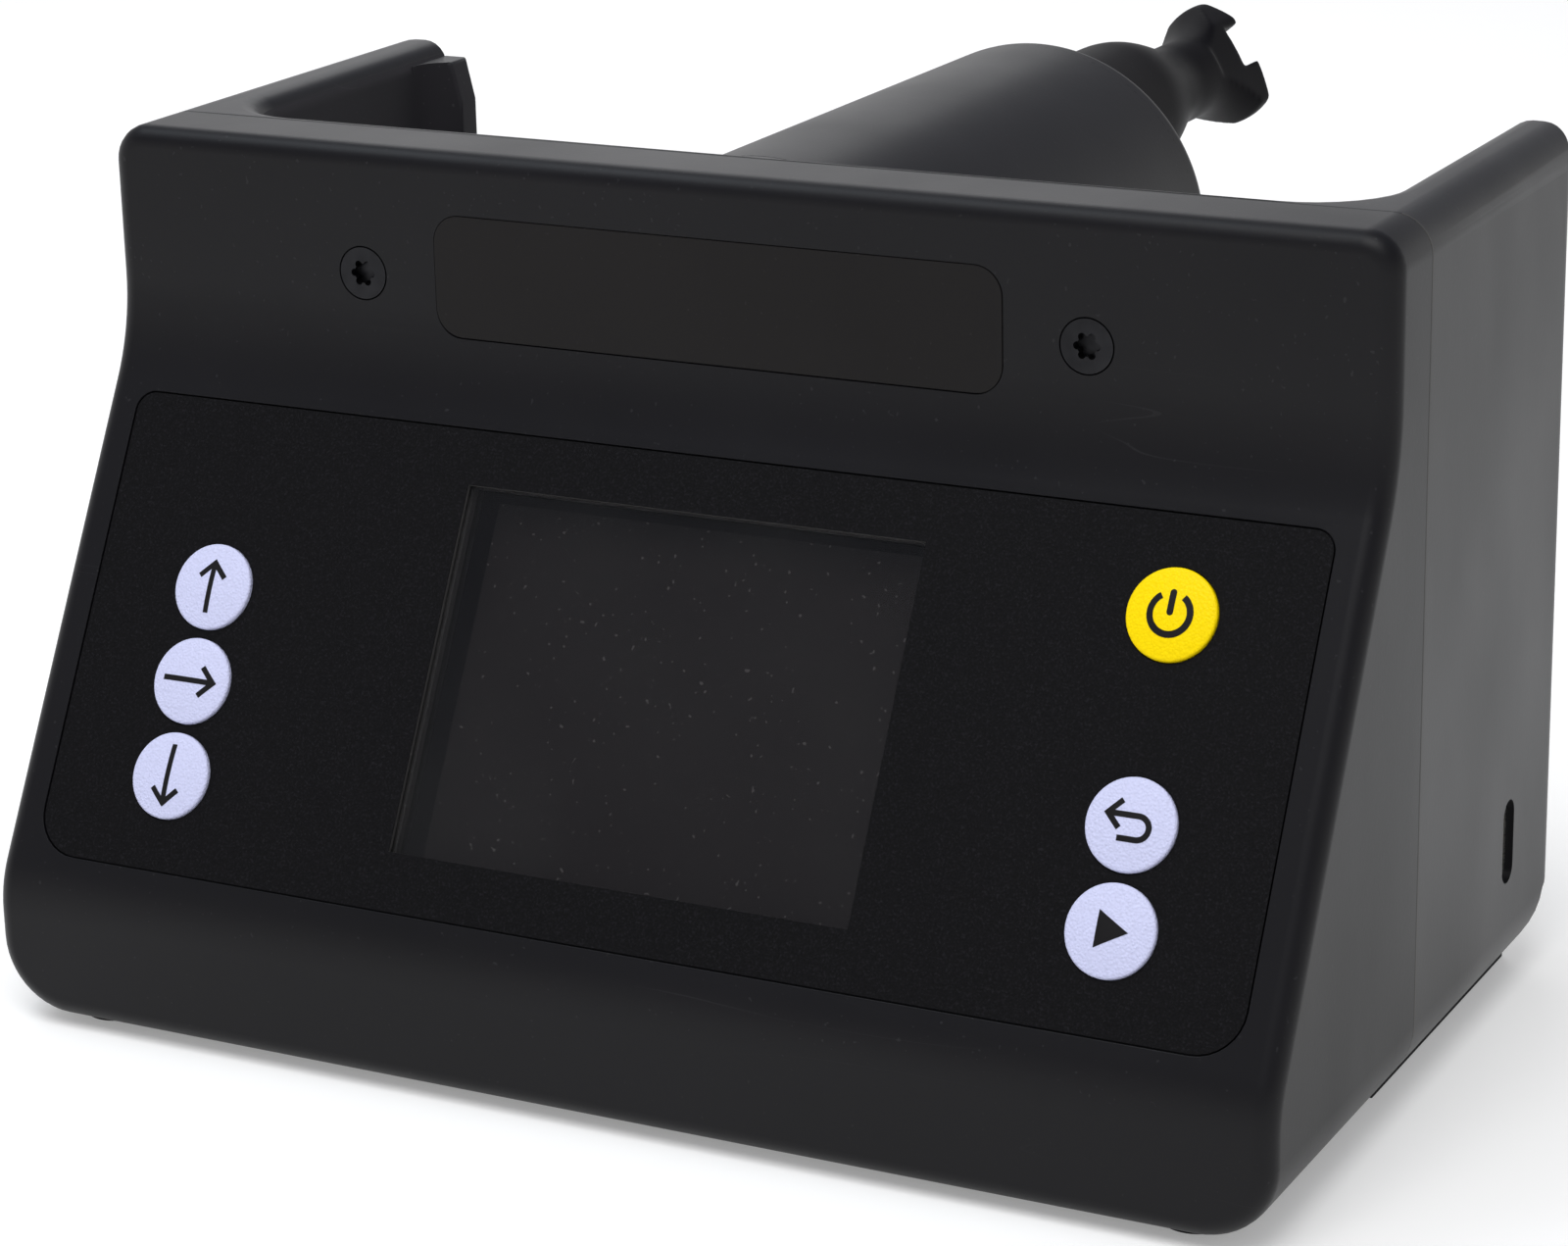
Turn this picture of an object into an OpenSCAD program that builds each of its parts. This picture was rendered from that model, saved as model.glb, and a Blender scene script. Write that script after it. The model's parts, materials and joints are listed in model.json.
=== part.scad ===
// Table-top film processor: a sloped control panel in front, a cradle for the lid of a
// developing tank behind, and a geared spindle that turns the reels inside the tank.
// Lengths are in millimetres. Sub-parts are drawn from the seam between the two shells
// (y = 0, front towards -y) and from the underside of the housing (z = 0).

/* [Cradle] */
// Radius of the cradle that holds the lid of a developing tank
cradle_r = 64.4; // [62:0.1:72]
// Thickness of each arm beside the cradle
arm_t = 8.1; // [7:0.1:12]
// Height of the cradle's lowest point above the underside
cradle_floor = 13.3; // [11:0.1:20]
// Height of the housing above the cradle's axis
top_over_axis = 12.6; // [11:0.1:16]
// Depth of the rear housing behind the seam
rear_depth = 46.5; // [43:0.5:60]
// Thickness of the wall between the electronics and the cradle
back_wall = 3; // [2.5:0.1:4]
// Radius between the back wall and the cradle's side
cradle_fillet = 8; // [4:0.5:10]
// Reach of the retaining lip into the cradle
lip_reach = 3.9; // [2:0.1:6]
// Thickness of the retaining lip
lip_t = 3.5; // [3:0.1:6]
// Step from the top of the left arm down to the top of its lip
lip_drop = 1.6; // [1:0.1:4]
// Step from the top of the right arm down to the top of its lip
right_lip_drop = 3.6; // [1:0.1:5]
// Height of the slanted lead-in at the top of the lip
lip_lead_h = 4.7; // [2:0.1:8]
// Width that the lead-in opens the lip by
lip_lead = 1.2; // [0.5:0.1:1.8]

/* [Shells] */
// Thickness of the moulded walls
wall = 2.5; // [2.2:0.1:3]
// Thickness of the floor above and around the base plate
floor_t = 4; // [3.5:0.1:6]
// Radius of the two upper corners seen from the front
top_corner_r = 4; // [3:0.5:6]
// Radius of the two lower corners seen from the front
low_corner_r = 8; // [5:0.5:10]
// Radius of the upright rear corners seen from above
rear_corner_r = 5; // [4:0.5:10]
// Radius of the lower rear edge seen from the side
rear_low_r = 11; // [8:0.5:11.5]
// Radius of the edge between the top and the upper front face
top_edge_r = 2; // [1:0.1:2.4]

/* [Front cover] */
// Distance from the seam to the upper front face
upper_depth = 9.4; // [9:0.1:14]
// Height of the upper front face, from the bend to the top
upper_h = 21.9; // [20.5:0.1:30]
// Lean of the control panel away from upright, in degrees
panel_tilt = 28.7; // [22:0.1:34]
// Radius of the inward bend above the control panel
bend_r = 22; // [10:0.5:26]
// Radius of the outward bend below the control panel
chin_r = 12; // [6:0.5:16]

/* [Keypad overlay] */
// Distance from the bend down to the overlay
overlay_drop = 7; // [6.8:0.1:12]
// Height of the overlay along the slope
overlay_h = 50.6; // [49.6:0.1:56]
// Distance from the overlay down to the chin
overlay_foot = 4.4; // [4.2:0.1:8]
// Margin between the overlay and the sides of the cover
overlay_side = 4.4; // [3.5:0.1:8]
// Thickness of the overlay
overlay_t = 0.5; // [0.3:0.1:0.6]
// Depth of the overlay's face below the cover's face
overlay_recess = 0.1; // [0:0.05:0.2]
// Radius of the overlay's upper corners
overlay_top_r = 2.8; // [1:0.1:5]
// Radius of the overlay's lower corners
overlay_low_r = 4.8; // [1:0.1:6]

/* [Display] */
// Width of the display window
window_w = 52.2; // [44:0.1:60]
// Height of the display window
window_h = 38.7; // [30:0.1:39.5]
// Distance from the overlay's upper edge to the window
window_drop = 5.8; // [5.4:0.1:6.4]
// Shift of the window to the right of the middle
window_shift = 0.5; // [-3:0.1:3]
// Thickness of the clear pane
pane_t = 1; // [0.8:0.1:1.2]
// Overlap of the pane behind the overlay
pane_border = 2; // [1.5:0.1:3]
// Depth of the display's face below the panel
lcd_depth = 4.2; // [3.6:0.1:5]
// Overlap of the display module around the window
lcd_border = 2; // [1.5:0.1:2.1]

/* [Keys] */
// Radius of a key
key_r = 4.72; // [4:0.02:4.9]
// Distance of the key columns from the overlay's sides
key_edge = 14.7; // [13:0.1:18]
// Distance from the overlay's upper edge to the first row of keys
first_row = 9.85; // [9.4:0.05:11]
// Distance between rows of keys
row_pitch = 10.22; // [10.1:0.01:11]
// Travel of a key
key_travel = 0.5; // [0.2:0.05:0.5]
// Height of a key's rim above the panel
key_rise = 0.3; // [0.1:0.05:0.6]
// Height of a key's crown above its rim
key_crown = 0.4; // [0.2:0.05:0.8]
// Radius of a key's stem
key_stem_r = 1.6; // [1.2:0.1:2.2]

/* [Name plate] */
// Width of the name plate
plate_w = 64.4; // [50:0.1:70]
// Height of the name plate
plate_h = 12.85; // [8:0.05:13]
// Distance from the top of the housing to the name plate
plate_drop = 6.5; // [5:0.1:7]
// Thickness of the name plate
plate_t = 0.4; // [0.3:0.05:0.8]
// Depth of the shallow recess that the name plate is stuck in
plate_recess = 0.3; // [0.2:0.05:0.6]
// Radius of the name plate's corners
plate_r = 3; // [1:0.1:4]

/* [Fasteners] */
// Thread radius of the housing screws
screw_r = 1.5; // [1.25:0.05:1.6]
// Head radius of the housing screws
screw_head_r = 2.75; // [2.4:0.05:3]
// Length of the two screws in the upper front face
cover_screw_l = 10; // [8:0.5:11]
// Distance of those screws from the middle
cover_screw_x = 41.1; // [38:0.1:50]
// Distance of those screws from the top of the housing
cover_screw_drop = 13.5; // [10:0.1:15]
// Radius of the bosses that the housing screws bite into
boss_r = 3.4; // [3:0.1:4]
// Thread radius of the circuit board and motor screws
small_screw_r = 1.2; // [1:0.05:1.3]
// Head radius of the circuit board and motor screws
small_head_r = 2.2; // [1.8:0.05:2.4]

/* [Base] */
// Thickness of the base plate
base_t = 2; // [1.5:0.1:2.5]
// Distance from the sides of the housing to the base plate
base_side = 15; // [14.8:0.1:20]
// Distance from the chin and from the rear to the base plate
base_end = 12; // [11.8:0.1:14]
// Distance from the base plate's edges to its screws
base_screw_inset = 4.2; // [4:0.1:6]
// Width of the feet
foot_w = 7; // [5:0.1:7.4]
// Height of the feet below the underside
foot_h = 1.2; // [1:0.1:4]
// Distance of the front feet's middle lines from the sides of the housing
foot_side = 10.2; // [10:0.1:11]
// Distance of the front feet from the chin
foot_front = 3.6; // [1.5:0.1:8]
// Length of each front foot
front_foot_l = 10; // [8:0.5:24]
// Distance of the rear strips from the sides of the housing
strip_side = 4.6; // [3.5:0.1:5.5]
// Distance of the rear strips from the seam
strip_front = 1; // [0.5:0.1:6]
// Distance of the rear strips from the rear
strip_rear = 4; // [3.5:0.1:16]

/* [Electronics] */
// Depth of the circuit board below the panel
board_depth = 7.5; // [7:0.1:8.5]
// Thickness of the circuit board
board_t = 1.6; // [1:0.1:2]
// Reach of the circuit board past the key columns
board_reach = 10.6; // [9.5:0.1:12]
// Radius of the battery cell
cell_r = 9.2; // [7:0.1:9.4]
// Length of the battery cell
cell_l = 65; // [50:0.5:70]
// Distance of the battery cell's axis in front of the seam
cell_y = 11.5; // [10.5:0.1:12]
// Distance of the charging socket behind the seam
socket_y = 28.8; // [24:0.1:34]
// Height of the charging socket above the underside
socket_z = 17.55; // [16:0.05:22]

/* [Drive] */
// Radius of the drive sleeve
sleeve_r = 20.9; // [20.6:0.1:24]
// Distance from the seam to the end of the drive sleeve
sleeve_end = 73; // [72:0.1:90]
// Wall of the drive sleeve
sleeve_wall = 2; // [1.6:0.1:2.2]
// Distance from the spindle's axis up to the top of the sleeve
shaft_edge = 12.2; // [12.1:0.05:12.6]
// Thickness of the cap at the end of the sleeve
cap_t = 3.2; // [3.1:0.1:5]
// Radius of the cap's outer edge
cap_edge_r = 2; // [1:0.1:3]
// Radius of the output shaft
shaft_r = 3; // [2.4:0.1:3.2]
// Length of the output shaft inside the spindle
shaft_grip = 18; // [14:0.5:20]
// Radius of the spindle's stem
stem_r = 8.5; // [7:0.1:10]
// Length of the straight part of the stem
stem_l = 19; // [16:0.5:40]
// Length of the curved shoulder between the stem and the neck
shoulder_l = 19; // [14:0.5:24]
// Radius of the neck behind the coupling head
neck_r = 5; // [4.6:0.1:6]
// Length of the neck
neck_l = 4.5; // [3:0.1:8]
// Radius of the coupling head across its two wings
head_r = 7.85; // [7:0.05:9]
// Length of the coupling head
head_l = 13.6; // [12:0.1:20]
// Thickness of the coupling head across its sides
head_flat = 9.2; // [8:0.1:10]
// Radius to which the sides of the coupling head are rounded
head_side_r = 25; // [12:0.5:40]
// Distance of each wing's cut corner from the axis
head_corner = 5.9; // [5:0.1:7]
// Angle of the cut corner against the side, in degrees
head_corner_turn = 30; // [20:1:40]
// Length of the straight rim at the end of the coupling head
head_rim = 2.8; // [2:0.1:5]
// Width of the slot in the end of the coupling head
slot_w = 5.2; // [5:0.1:7]
// Depth of the slot in the end of the coupling head
slot_d = 4.5; // [2:0.1:5]
// Angle of the slot against the sides, in degrees
slot_skew = 10; // [0:1:25]
// Angle at which the coupling head stands at rest, in degrees
head_turn = 60; // [0:1:180]

/* [Motor] */
// Radius of the motor can
motor_r = 13.5; // [11:0.1:13.7]
// Length of the motor
motor_l = 33; // [28:0.5:34]
// Radius of the motor shaft
motor_shaft_r = 1; // [0.8:0.05:1.2]

/* [Gears] */
// Room between the large wheel of the cluster gear and the gearbox case
wheel_room = 0.62; // [0.3:0.01:0.9]
// Room between the output gear and the gearbox case
output_room = 0.535; // [0.3:0.005:0.7]
// Teeth on the motor pinion
pinion_teeth = 12; // [11:1:13]
// Teeth on the large wheel of the cluster gear
wheel_teeth = 32; // [30:1:32]
// Teeth on the small wheel of the cluster gear
small_teeth = 12; // [12:1:13]
// Teeth on the output gear
output_teeth = 26; // [24:1:26]
// Face width of the first gear pair
face_1 = 4; // [3:0.1:5]
// Face width of the second gear pair
face_2 = 5; // [4:0.1:6]

/* [Hidden] */
$fn = 64;
cut = 1;
seat_gap = 0.15;
run_gap = 0.04;
thread_gap = 0.03;

// Sizes of the housing
housing_w = 2 * (cradle_r + arm_t);
spindle_z = cradle_floor + cradle_r;
housing_h = spindle_z + top_over_axis;
bend_z = housing_h - upper_h;
slope_l = overlay_drop + overlay_h + overlay_foot;
chin_depth = upper_depth + slope_l * sin(panel_tilt);
chin_z = bend_z - slope_l * cos(panel_tilt);
half_tan = tan(panel_tilt / 2);

// Sizes on the control panel, measured from the bend down the slope
overlay_w = housing_w - 2 * overlay_side;
window_y = overlay_drop + window_drop + window_h / 2;
key_x = overlay_w / 2 - key_edge;
pane_depth = overlay_recess + overlay_t;
key_bore_r = key_r + 0.1;
key_floor = 1.2;
key_hook_r = key_stem_r + 0.5;
key_hook_h = 0.8;
stem_end = wall + 0.05 + key_hook_h;
switch_top = stem_end + key_travel + 0.05;
switch_w = 6;
plunger_h = 0.8;
board_half = key_x + board_reach;
board_top = overlay_drop + 2;
board_low = overlay_drop + overlay_h - 2.6;
post_x = board_half - 4;
post_rows = [board_top + 3, board_low - 3];
post_r = 2.8;
post_hole_d = 4.5;
lcd_w = window_w + 2 * lcd_border;
lcd_h = window_h + 2 * lcd_border;
frame_wall = 1.2;
window_gap = 0.4;

// Columns (-1 left, 1 right) and rows of the keys
up_key = [-1, 1];
right_key = [-1, 2];
down_key = [-1, 3];
power_key = [1, 0];
back_key = [1, 2];
start_key = [1, 3];
all_keys = [up_key, right_key, down_key, power_key, back_key, start_key];

// Sizes of the base
base_half = housing_w / 2 - base_side;
base_front = -(chin_depth - base_end);
base_rear = rear_depth - base_end;
base_spots = [for (x = [-1, 1], y = [base_front + base_screw_inset, base_rear - base_screw_inset])
    [x * (base_half - base_screw_inset), y]];
base_boss_h = 6;
base_corner_r = 3;
base_screw_l = 7;
foot_x = housing_w / 2 - foot_side;

// Sizes of the battery and the charging socket
tray_t = 1.5;
tray_wall = 1.6;
contact_t = 0.5;
cell_z = floor_t + tray_t + cell_r;
tray_half = cell_l / 2 + 3 * contact_t + tray_wall;
socket_l = 8.94;
socket_w = 3.2;
socket_deep = 7.4;
socket_sunk = 0.8;
socket_board_t = 1.2;
socket_board_y = socket_y + socket_w / 2;
socket_board_z = socket_z - 7.5;
socket_board_h = 15;
socket_board_x = housing_w / 2 - wall - 20;
socket_board_w = 19.5;
rail_x = socket_board_x + 2;
rail_l = 14;
rail_h = socket_board_z - floor_t + 3;

// Sizes along the drive, measured from the seam
shaft_offset = sleeve_r - shaft_edge;
sleeve_z = spindle_z - shaft_offset;
bore_r = sleeve_r - sleeve_wall;
case_wall = 1;
wire_hole_r = 7;
spigot_l = 3;
spigot_t = 1.6;
case_r = bore_r - run_gap - spigot_t - 0.1;
cap_y = sleeve_end - cap_t;
case_t = 2;
gear_2_y = cap_y - case_t - 1.5;
gear_1_y = gear_2_y - face_2 - 1;
gear_plate_y = gear_1_y - face_1 - 2.5;
gear_plate_t = 2.5;
motor_y = gear_plate_y - gear_plate_t;
motor_back = motor_y - motor_l;
sleeve_screw_r = bore_r - 2.3;
sleeve_boss_r = 2.8;
sleeve_boss_l = 10;
sleeve_screw_l = 10;
spindle_y = sleeve_end + 0.5;
spindle_l = stem_l + shoulder_l + neck_l + head_l;
spindle_end = spindle_y + spindle_l;
shaft_end = spindle_y + shaft_grip;
journal_r = shaft_r - 1;
flat_d = 0.5;
seal_r = shaft_r + 3;
seal_l = 2.4;
bush_wall = 1.5;
spindle_screw_l = 10;
spindle_web = 4;
spindle_head_t = 1.6;

// Gear train: the cluster gear meshes with the pinion and with the output gear
tooth_share = 0.44;
tip_share = 0.85;
root_share = 1.15;
flank_tan = tan(20);
case_inner_r = case_r - case_wall;
module_1 = (case_inner_r - wheel_room) / (pinion_teeth / 2 + wheel_teeth + tip_share);
module_2 = (case_inner_r - output_room - shaft_offset) / (output_teeth / 2 + tip_share);
first_centres = (pinion_teeth + wheel_teeth) * module_1 / 2;
second_centres = (small_teeth + output_teeth) * module_2 / 2;
cluster_up = (pow(first_centres, 2) - pow(second_centres, 2) + pow(shaft_offset, 2)) / (2 * shaft_offset);
cluster_x = sqrt(pow(first_centres, 2) - pow(cluster_up, 2));
first_angle = atan2(cluster_up, cluster_x);
second_angle = atan2(shaft_offset - cluster_up, -cluster_x);
cluster_phase = meshed_phase(0, pinion_teeth, wheel_teeth, first_angle);
output_phase = meshed_phase(cluster_phase, small_teeth, output_teeth, second_angle);
pin_r = 1;

// The frame's origin is on the table, below the middle of the whole object
seam_y = (chin_depth - spindle_end) / 2;

// Angle of the second gear's first tooth, so that its gap faces the first gear's tooth
function meshed_phase(phase, teeth_a, teeth_b, angle) =
    angle + 180 + 180 / teeth_b - (phase - angle) * teeth_a / teeth_b;

// Point at a radius and an angle
function polar(r, angle) = [r * cos(angle), r * sin(angle)];

// Distance of a key's row from the bend, down the slope
function row_y(row) = overlay_drop + first_row + row * row_pitch;

// From the seam and the underside to the part's frame
module in_frame() {
    translate([0, seam_y, foot_h])
        children();
}

// Frame on the control panel: x across, y up the slope from the bend, z out of the panel
module on_panel() {
    translate([0, -upper_depth, bend_z])
        rotate([90 - panel_tilt, 0, 0])
            children();
}

// Place of a key on the control panel
module at_key(key) {
    translate([key[0] * key_x, -row_y(key[1]), 0])
        children();
}

// Frame on the drive sleeve's axis at a distance behind the seam: z points to the rear
module on_sleeve(y) {
    translate([0, y, sleeve_z])
        rotate([-90, 0, 0])
            children();
}

// Frame on the spindle's axis at a distance behind the seam: z points to the rear
module on_spindle(y) {
    translate([0, y, spindle_z])
        rotate([-90, 0, 0])
            children();
}

// Frame on the cluster gear's axis
module on_cluster(y) {
    translate([cluster_x, y, sleeve_z + cluster_up])
        rotate([-90, 0, 0])
            children();
}

// Rectangle between two corners
module area(low, high) {
    translate(low)
        square(high - low);
}

// Rectangle between two corners with a radius for its upper and one for its lower corners
module round_area(low, high, top_r, low_r) {
    for (corner = [[low[0] + low_r, low[1] + low_r, low_r], [high[0] - low_r, low[1] + low_r, low_r],
            [low[0] + top_r, high[1] - top_r, top_r], [high[0] - top_r, high[1] - top_r, top_r]])
        translate([corner[0], corner[1]])
            circle(corner[2]);
    area([low[0], low[1] + low_r], [high[0], high[1] - top_r]);
    area([low[0] + low_r, low[1]], [high[0] - low_r, low[1] + low_r]);
    area([low[0] + top_r, high[1] - top_r], [high[0] - top_r, high[1]]);
}

// Slot with round ends, centred, standing along y
module long_hole(length, width) {
    for (end = [-1, 1])
        translate([0, end * (length - width) / 2])
            circle(width / 2);
    square([width, length - width], center = true);
}

// Six-lobed driver recess
module six_lobes(r) {
    circle(r * 0.72);
    for (lobe = [0:5])
        translate(polar(r * 0.72, lobe * 60))
            circle(r * 0.28);
}

// Countersunk screw along -z with the face of its head at z = 0
module countersunk_screw(head_r, thread_r, length) {
    land = 0.3;
    cone = head_r - thread_r;
    difference() {
        union() {
            translate([0, 0, -land])
                cylinder(h = land, r = head_r);
            translate([0, 0, -land - cone])
                cylinder(h = cone, r1 = thread_r, r2 = head_r);
            translate([0, 0, -length])
                cylinder(h = length - land, r = thread_r);
        }
        translate([0, 0, -1.1])
            linear_extrude(1.1 + cut)
                six_lobes(head_r * 0.52);
    }
}

// Hole for a countersunk screw, with room around the head and the thread
module countersunk_hole(head_r, thread_r, length) {
    land = 0.3;
    cone = head_r - thread_r;
    translate([0, 0, -land])
        cylinder(h = land + cut, r = head_r + seat_gap);
    translate([0, 0, -land - cone])
        cylinder(h = cone, r1 = thread_r + seat_gap, r2 = head_r + seat_gap);
    translate([0, 0, -length])
        cylinder(h = length, r = thread_r + seat_gap);
}

// Flat-headed screw along -z with the underside of its head at z = 0
module flat_screw(head_r, thread_r, head_h, length) {
    difference() {
        union() {
            cylinder(h = head_h, r = head_r);
            translate([0, 0, -length])
                cylinder(h = length + head_h / 2, r = thread_r);
        }
        translate([0, 0, head_h * 0.35])
            linear_extrude(head_h)
                six_lobes(head_r * 0.55);
    }
}

// Outline of the housing seen from the front
module front_outline(inset) {
    round_area([-housing_w / 2 + inset, inset], [housing_w / 2 - inset, housing_h - inset],
        top_corner_r - inset, low_corner_r - inset);
}

// Outline of the rear housing seen from above, reaching forward past the seam
module plan_outline(inset) {
    half = housing_w / 2 - inset;
    r = rear_corner_r - inset;
    rear = rear_depth - inset;
    area([-half, -2 * cut], [half, rear - r]);
    area([-half + r, rear - r], [half - r, rear]);
    for (side = [-1, 1])
        translate([side * (half - r), rear - r])
            circle(r);
}

// Side profile of the front cover, y against z, from a low edge to the top and back to a plane
module side_profile(inset, low, back) {
    face = -(upper_depth - inset);
    chin = -(chin_depth - inset);
    bend = bend_z - inset * half_tan;
    chin_top = chin_z - inset * half_tan;
    top = housing_h - inset;
    slope = [sin(panel_tilt), cos(panel_tilt)];
    inner_r = bend_r + inset;
    outer_r = chin_r - inset;
    edge_r = max(top_edge_r - inset, 0.3);
    difference() {
        union() {
            polygon([[back, low], [chin, low], [chin, chin_top], [face, bend], [face, top], [back, top]]);
            difference() {
                polygon([[face + cut, bend], [face, bend + inner_r * half_tan],
                    [face, bend] - slope * inner_r * half_tan]);
                translate([face - inner_r, bend + inner_r * half_tan])
                    circle(inner_r, $fn = 180);
            }
        }
        difference() {
            polygon([[chin - cut, chin_top], [chin - cut, chin_top - outer_r * half_tan],
                [chin, chin_top - outer_r * half_tan], [chin, chin_top] + slope * outer_r * half_tan]);
            translate([chin + outer_r, chin_top - outer_r * half_tan])
                circle(outer_r, $fn = 180);
        }
        difference() {
            area([face - cut, top - edge_r], [face + edge_r, top + cut]);
            translate([face + edge_r, top - edge_r])
                circle(edge_r);
        }
    }
}

// Solid of the front cover's shape, inset from the outside
module front_solid(inset, low, back) {
    intersection() {
        translate([-housing_w / 2, 0, 0])
            rotate([90, 0, 90])
                linear_extrude(housing_w)
                    side_profile(inset, low, back);
        translate([0, back, 0])
            rotate([90, 0, 0])
                linear_extrude(chin_depth + back + cut)
                    front_outline(inset);
    }
}

// Side profile of the rear housing, y against z, with a round lower rear edge
module rear_profile(inset) {
    r = rear_low_r - inset;
    rear = rear_depth - inset;
    area([-2 * cut, inset + r], [rear, housing_h]);
    area([-2 * cut, inset], [rear - r, inset + r]);
    translate([rear - r, inset + r])
        circle(r);
}

// Solid of the rear housing's shape, inset from the outside, reaching forward past the seam
module rear_solid(inset, front) {
    intersection() {
        translate([0, rear_depth, 0])
            rotate([90, 0, 0])
                linear_extrude(rear_depth + front)
                    front_outline(inset);
        linear_extrude(housing_h)
            plan_outline(inset);
        translate([-housing_w / 2, 0, 0])
            rotate([90, 0, 90])
                linear_extrude(housing_w)
                    rear_profile(inset);
    }
}

// Section of the cradle: radius against distance behind the seam
module cradle_section() {
    difference() {
        union() {
            area([0, back_wall], [cradle_r, rear_depth - lip_t]);
            area([0, back_wall], [cradle_r - lip_reach, rear_depth + cut]);
        }
        difference() {
            area([cradle_r - cradle_fillet, back_wall - cut], [cradle_r + cut, back_wall + cradle_fillet]);
            translate([cradle_r - cradle_fillet, back_wall + cradle_fillet])
                circle(cradle_fillet);
        }
    }
}

// Space that the tank's lid lies in, open above
module cradle_space() {
    left_top = housing_h - lip_drop;
    right_top = housing_h - right_lip_drop;
    lip_x = cradle_r - lip_reach;
    on_spindle(0)
        rotate_extrude($fn = 180)
            cradle_section();
    translate([0, 0, spindle_z])
        linear_extrude(top_over_axis + cut)
            for (side = [0, 1])
                mirror([side, 0])
                    cradle_section();
    translate([-cradle_r, rear_depth - lip_t - cut, left_top])
        cube([cradle_r, lip_t + 2 * cut, lip_drop + cut]);
    translate([0, rear_depth - lip_t - cut, right_top])
        cube([cradle_r, lip_t + 2 * cut, right_lip_drop + cut]);
    translate([0, rear_depth + cut, 0])
        rotate([90, 0, 0])
            linear_extrude(lip_t + 2 * cut)
                polygon([[-lip_x, left_top - lip_lead_h], [lip_x, right_top - lip_lead_h],
                    [lip_x + lip_lead, right_top + cut], [-lip_x - lip_lead, left_top + cut]]);
}

// Wall round the cradle, filled, from the seam to the rear
module cradle_block() {
    block_r = cradle_r + wall;
    translate([0, rear_depth, 0])
        rotate([90, 0, 0])
            linear_extrude(rear_depth) {
                translate([0, spindle_z])
                    circle(block_r, $fn = 180);
                area([-block_r, spindle_z], [block_r, housing_h + cut]);
            }
}

// Outline of the base plate seen from above
module base_outline(gap) {
    round_area([-base_half - gap, base_front - gap], [base_half + gap, base_rear + gap],
        base_corner_r + gap, base_corner_r + gap);
}

// Recess under the floor for the base plate
module base_recess() {
    translate([0, 0, -cut])
        linear_extrude(cut + base_t)
            base_outline(seat_gap);
}

// Bosses for the base screws on one of the shells: side -1 in front of the seam, 1 behind it
module base_bosses(side) {
    for (spot = base_spots)
        if (spot[1] * side > 0)
            translate([spot[0], spot[1], base_t + 0.2])
                cylinder(h = floor_t + base_boss_h - base_t - 0.2, r = boss_r);
}

// Blind holes for the base screws
module base_holes() {
    for (spot = base_spots)
        translate([spot[0], spot[1], 0])
            cylinder(h = base_screw_l + 0.5, r = screw_r + thread_gap);
}

// Places of the two screws in the upper front face
module at_cover_screws() {
    for (side = [-1, 1])
        translate([side * cover_screw_x, -upper_depth, housing_h - cover_screw_drop])
            rotate([90, 0, 0])
                children();
}

// Places of the four screws that hold the drive sleeve to the back wall
module at_sleeve_screws() {
    for (quarter = [0:3])
        rotate([0, 0, 45 + quarter * 90])
            translate([sleeve_screw_r, 0, 0])
                children();
}

// Places of the screws that hold the gearbox to the cap, kept below the spindle
module at_cap_screws() {
    for (angle = [20, 65, 115, 160])
        translate(polar(case_r - 4, angle))
            children();
}

// Places of the two screws that hold the motor to the gearbox plate
module at_motor_screws() {
    for (angle = [40, 220])
        translate(polar(motor_r - 5, angle))
            children();
}

// Places of the posts that carry the circuit board
module at_posts() {
    for (side = [-1, 1], row = post_rows)
        translate([side * post_x, -row, 0])
            children();
}

// Outline of a spur gear with straight-flanked teeth
module gear_outline(teeth, size, phase) {
    pitch_r = teeth * size / 2;
    half = PI * size * tooth_share / 2;
    tooth = [[pitch_r - root_share * size, half + root_share * size * flank_tan * 0.5],
        [pitch_r, half],
        [pitch_r + tip_share * size, half - tip_share * size * flank_tan]];
    sides = concat([for (i = [0:2]) [tooth[i][0], -tooth[i][1]]], [for (i = [2:-1:0]) tooth[i]]);
    polygon([for (k = [0:teeth - 1], p = sides)
        polar(p[0], phase + k * 360 / teeth + p[1] / p[0] * 180 / PI)]);
}

// Gear wheel in the upright plane, ending at y = 0 and reaching forward by its face width
module gear_wheel(teeth, size, phase, face) {
    rotate([90, 0, 0])
        linear_extrude(face)
            gear_outline(teeth, size, phase);
}

// Round shaft section with a flat for the spindle
module flatted(r) {
    difference() {
        circle(r);
        area([-r - cut, r - flat_d], [r + cut, r + cut]);
    }
}

// Pieces, in the order of NODES

module front_cover() {
    color("#25262b") in_frame()
        difference() {
            union() {
                difference() {
                    front_solid(0, 0, 0);
                    front_solid(wall, floor_t, cut);
                }
                on_panel()
                    at_posts()
                        translate([0, 0, -board_depth])
                            cylinder(h = board_depth - wall + 0.5, r = post_r);
                base_bosses(-1);
            }
            on_panel() {
                overlay_pocket();
                for (key = all_keys)
                    at_key(key)
                        key_well();
                at_posts()
                    translate([0, 0, -board_depth - cut])
                        cylinder(h = post_hole_d + cut, r = small_screw_r + thread_gap);
            }
            plate_pocket();
            at_cover_screws()
                countersunk_hole(screw_head_r, screw_r, wall + cut);
            base_recess();
            base_holes();
        }
}

// Recess for the overlay, with the deeper seat of the pane and the opening for the display
module overlay_pocket() {
    translate([0, 0, -pane_depth])
        linear_extrude(pane_depth + cut)
            overlay_outline(seat_gap);
    translate([0, 0, -pane_depth - pane_t])
        linear_extrude(pane_t + cut)
            window_outline(pane_border + seat_gap);
    translate([0, 0, -wall - cut])
        linear_extrude(wall + cut)
            window_outline(window_gap);
}

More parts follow.
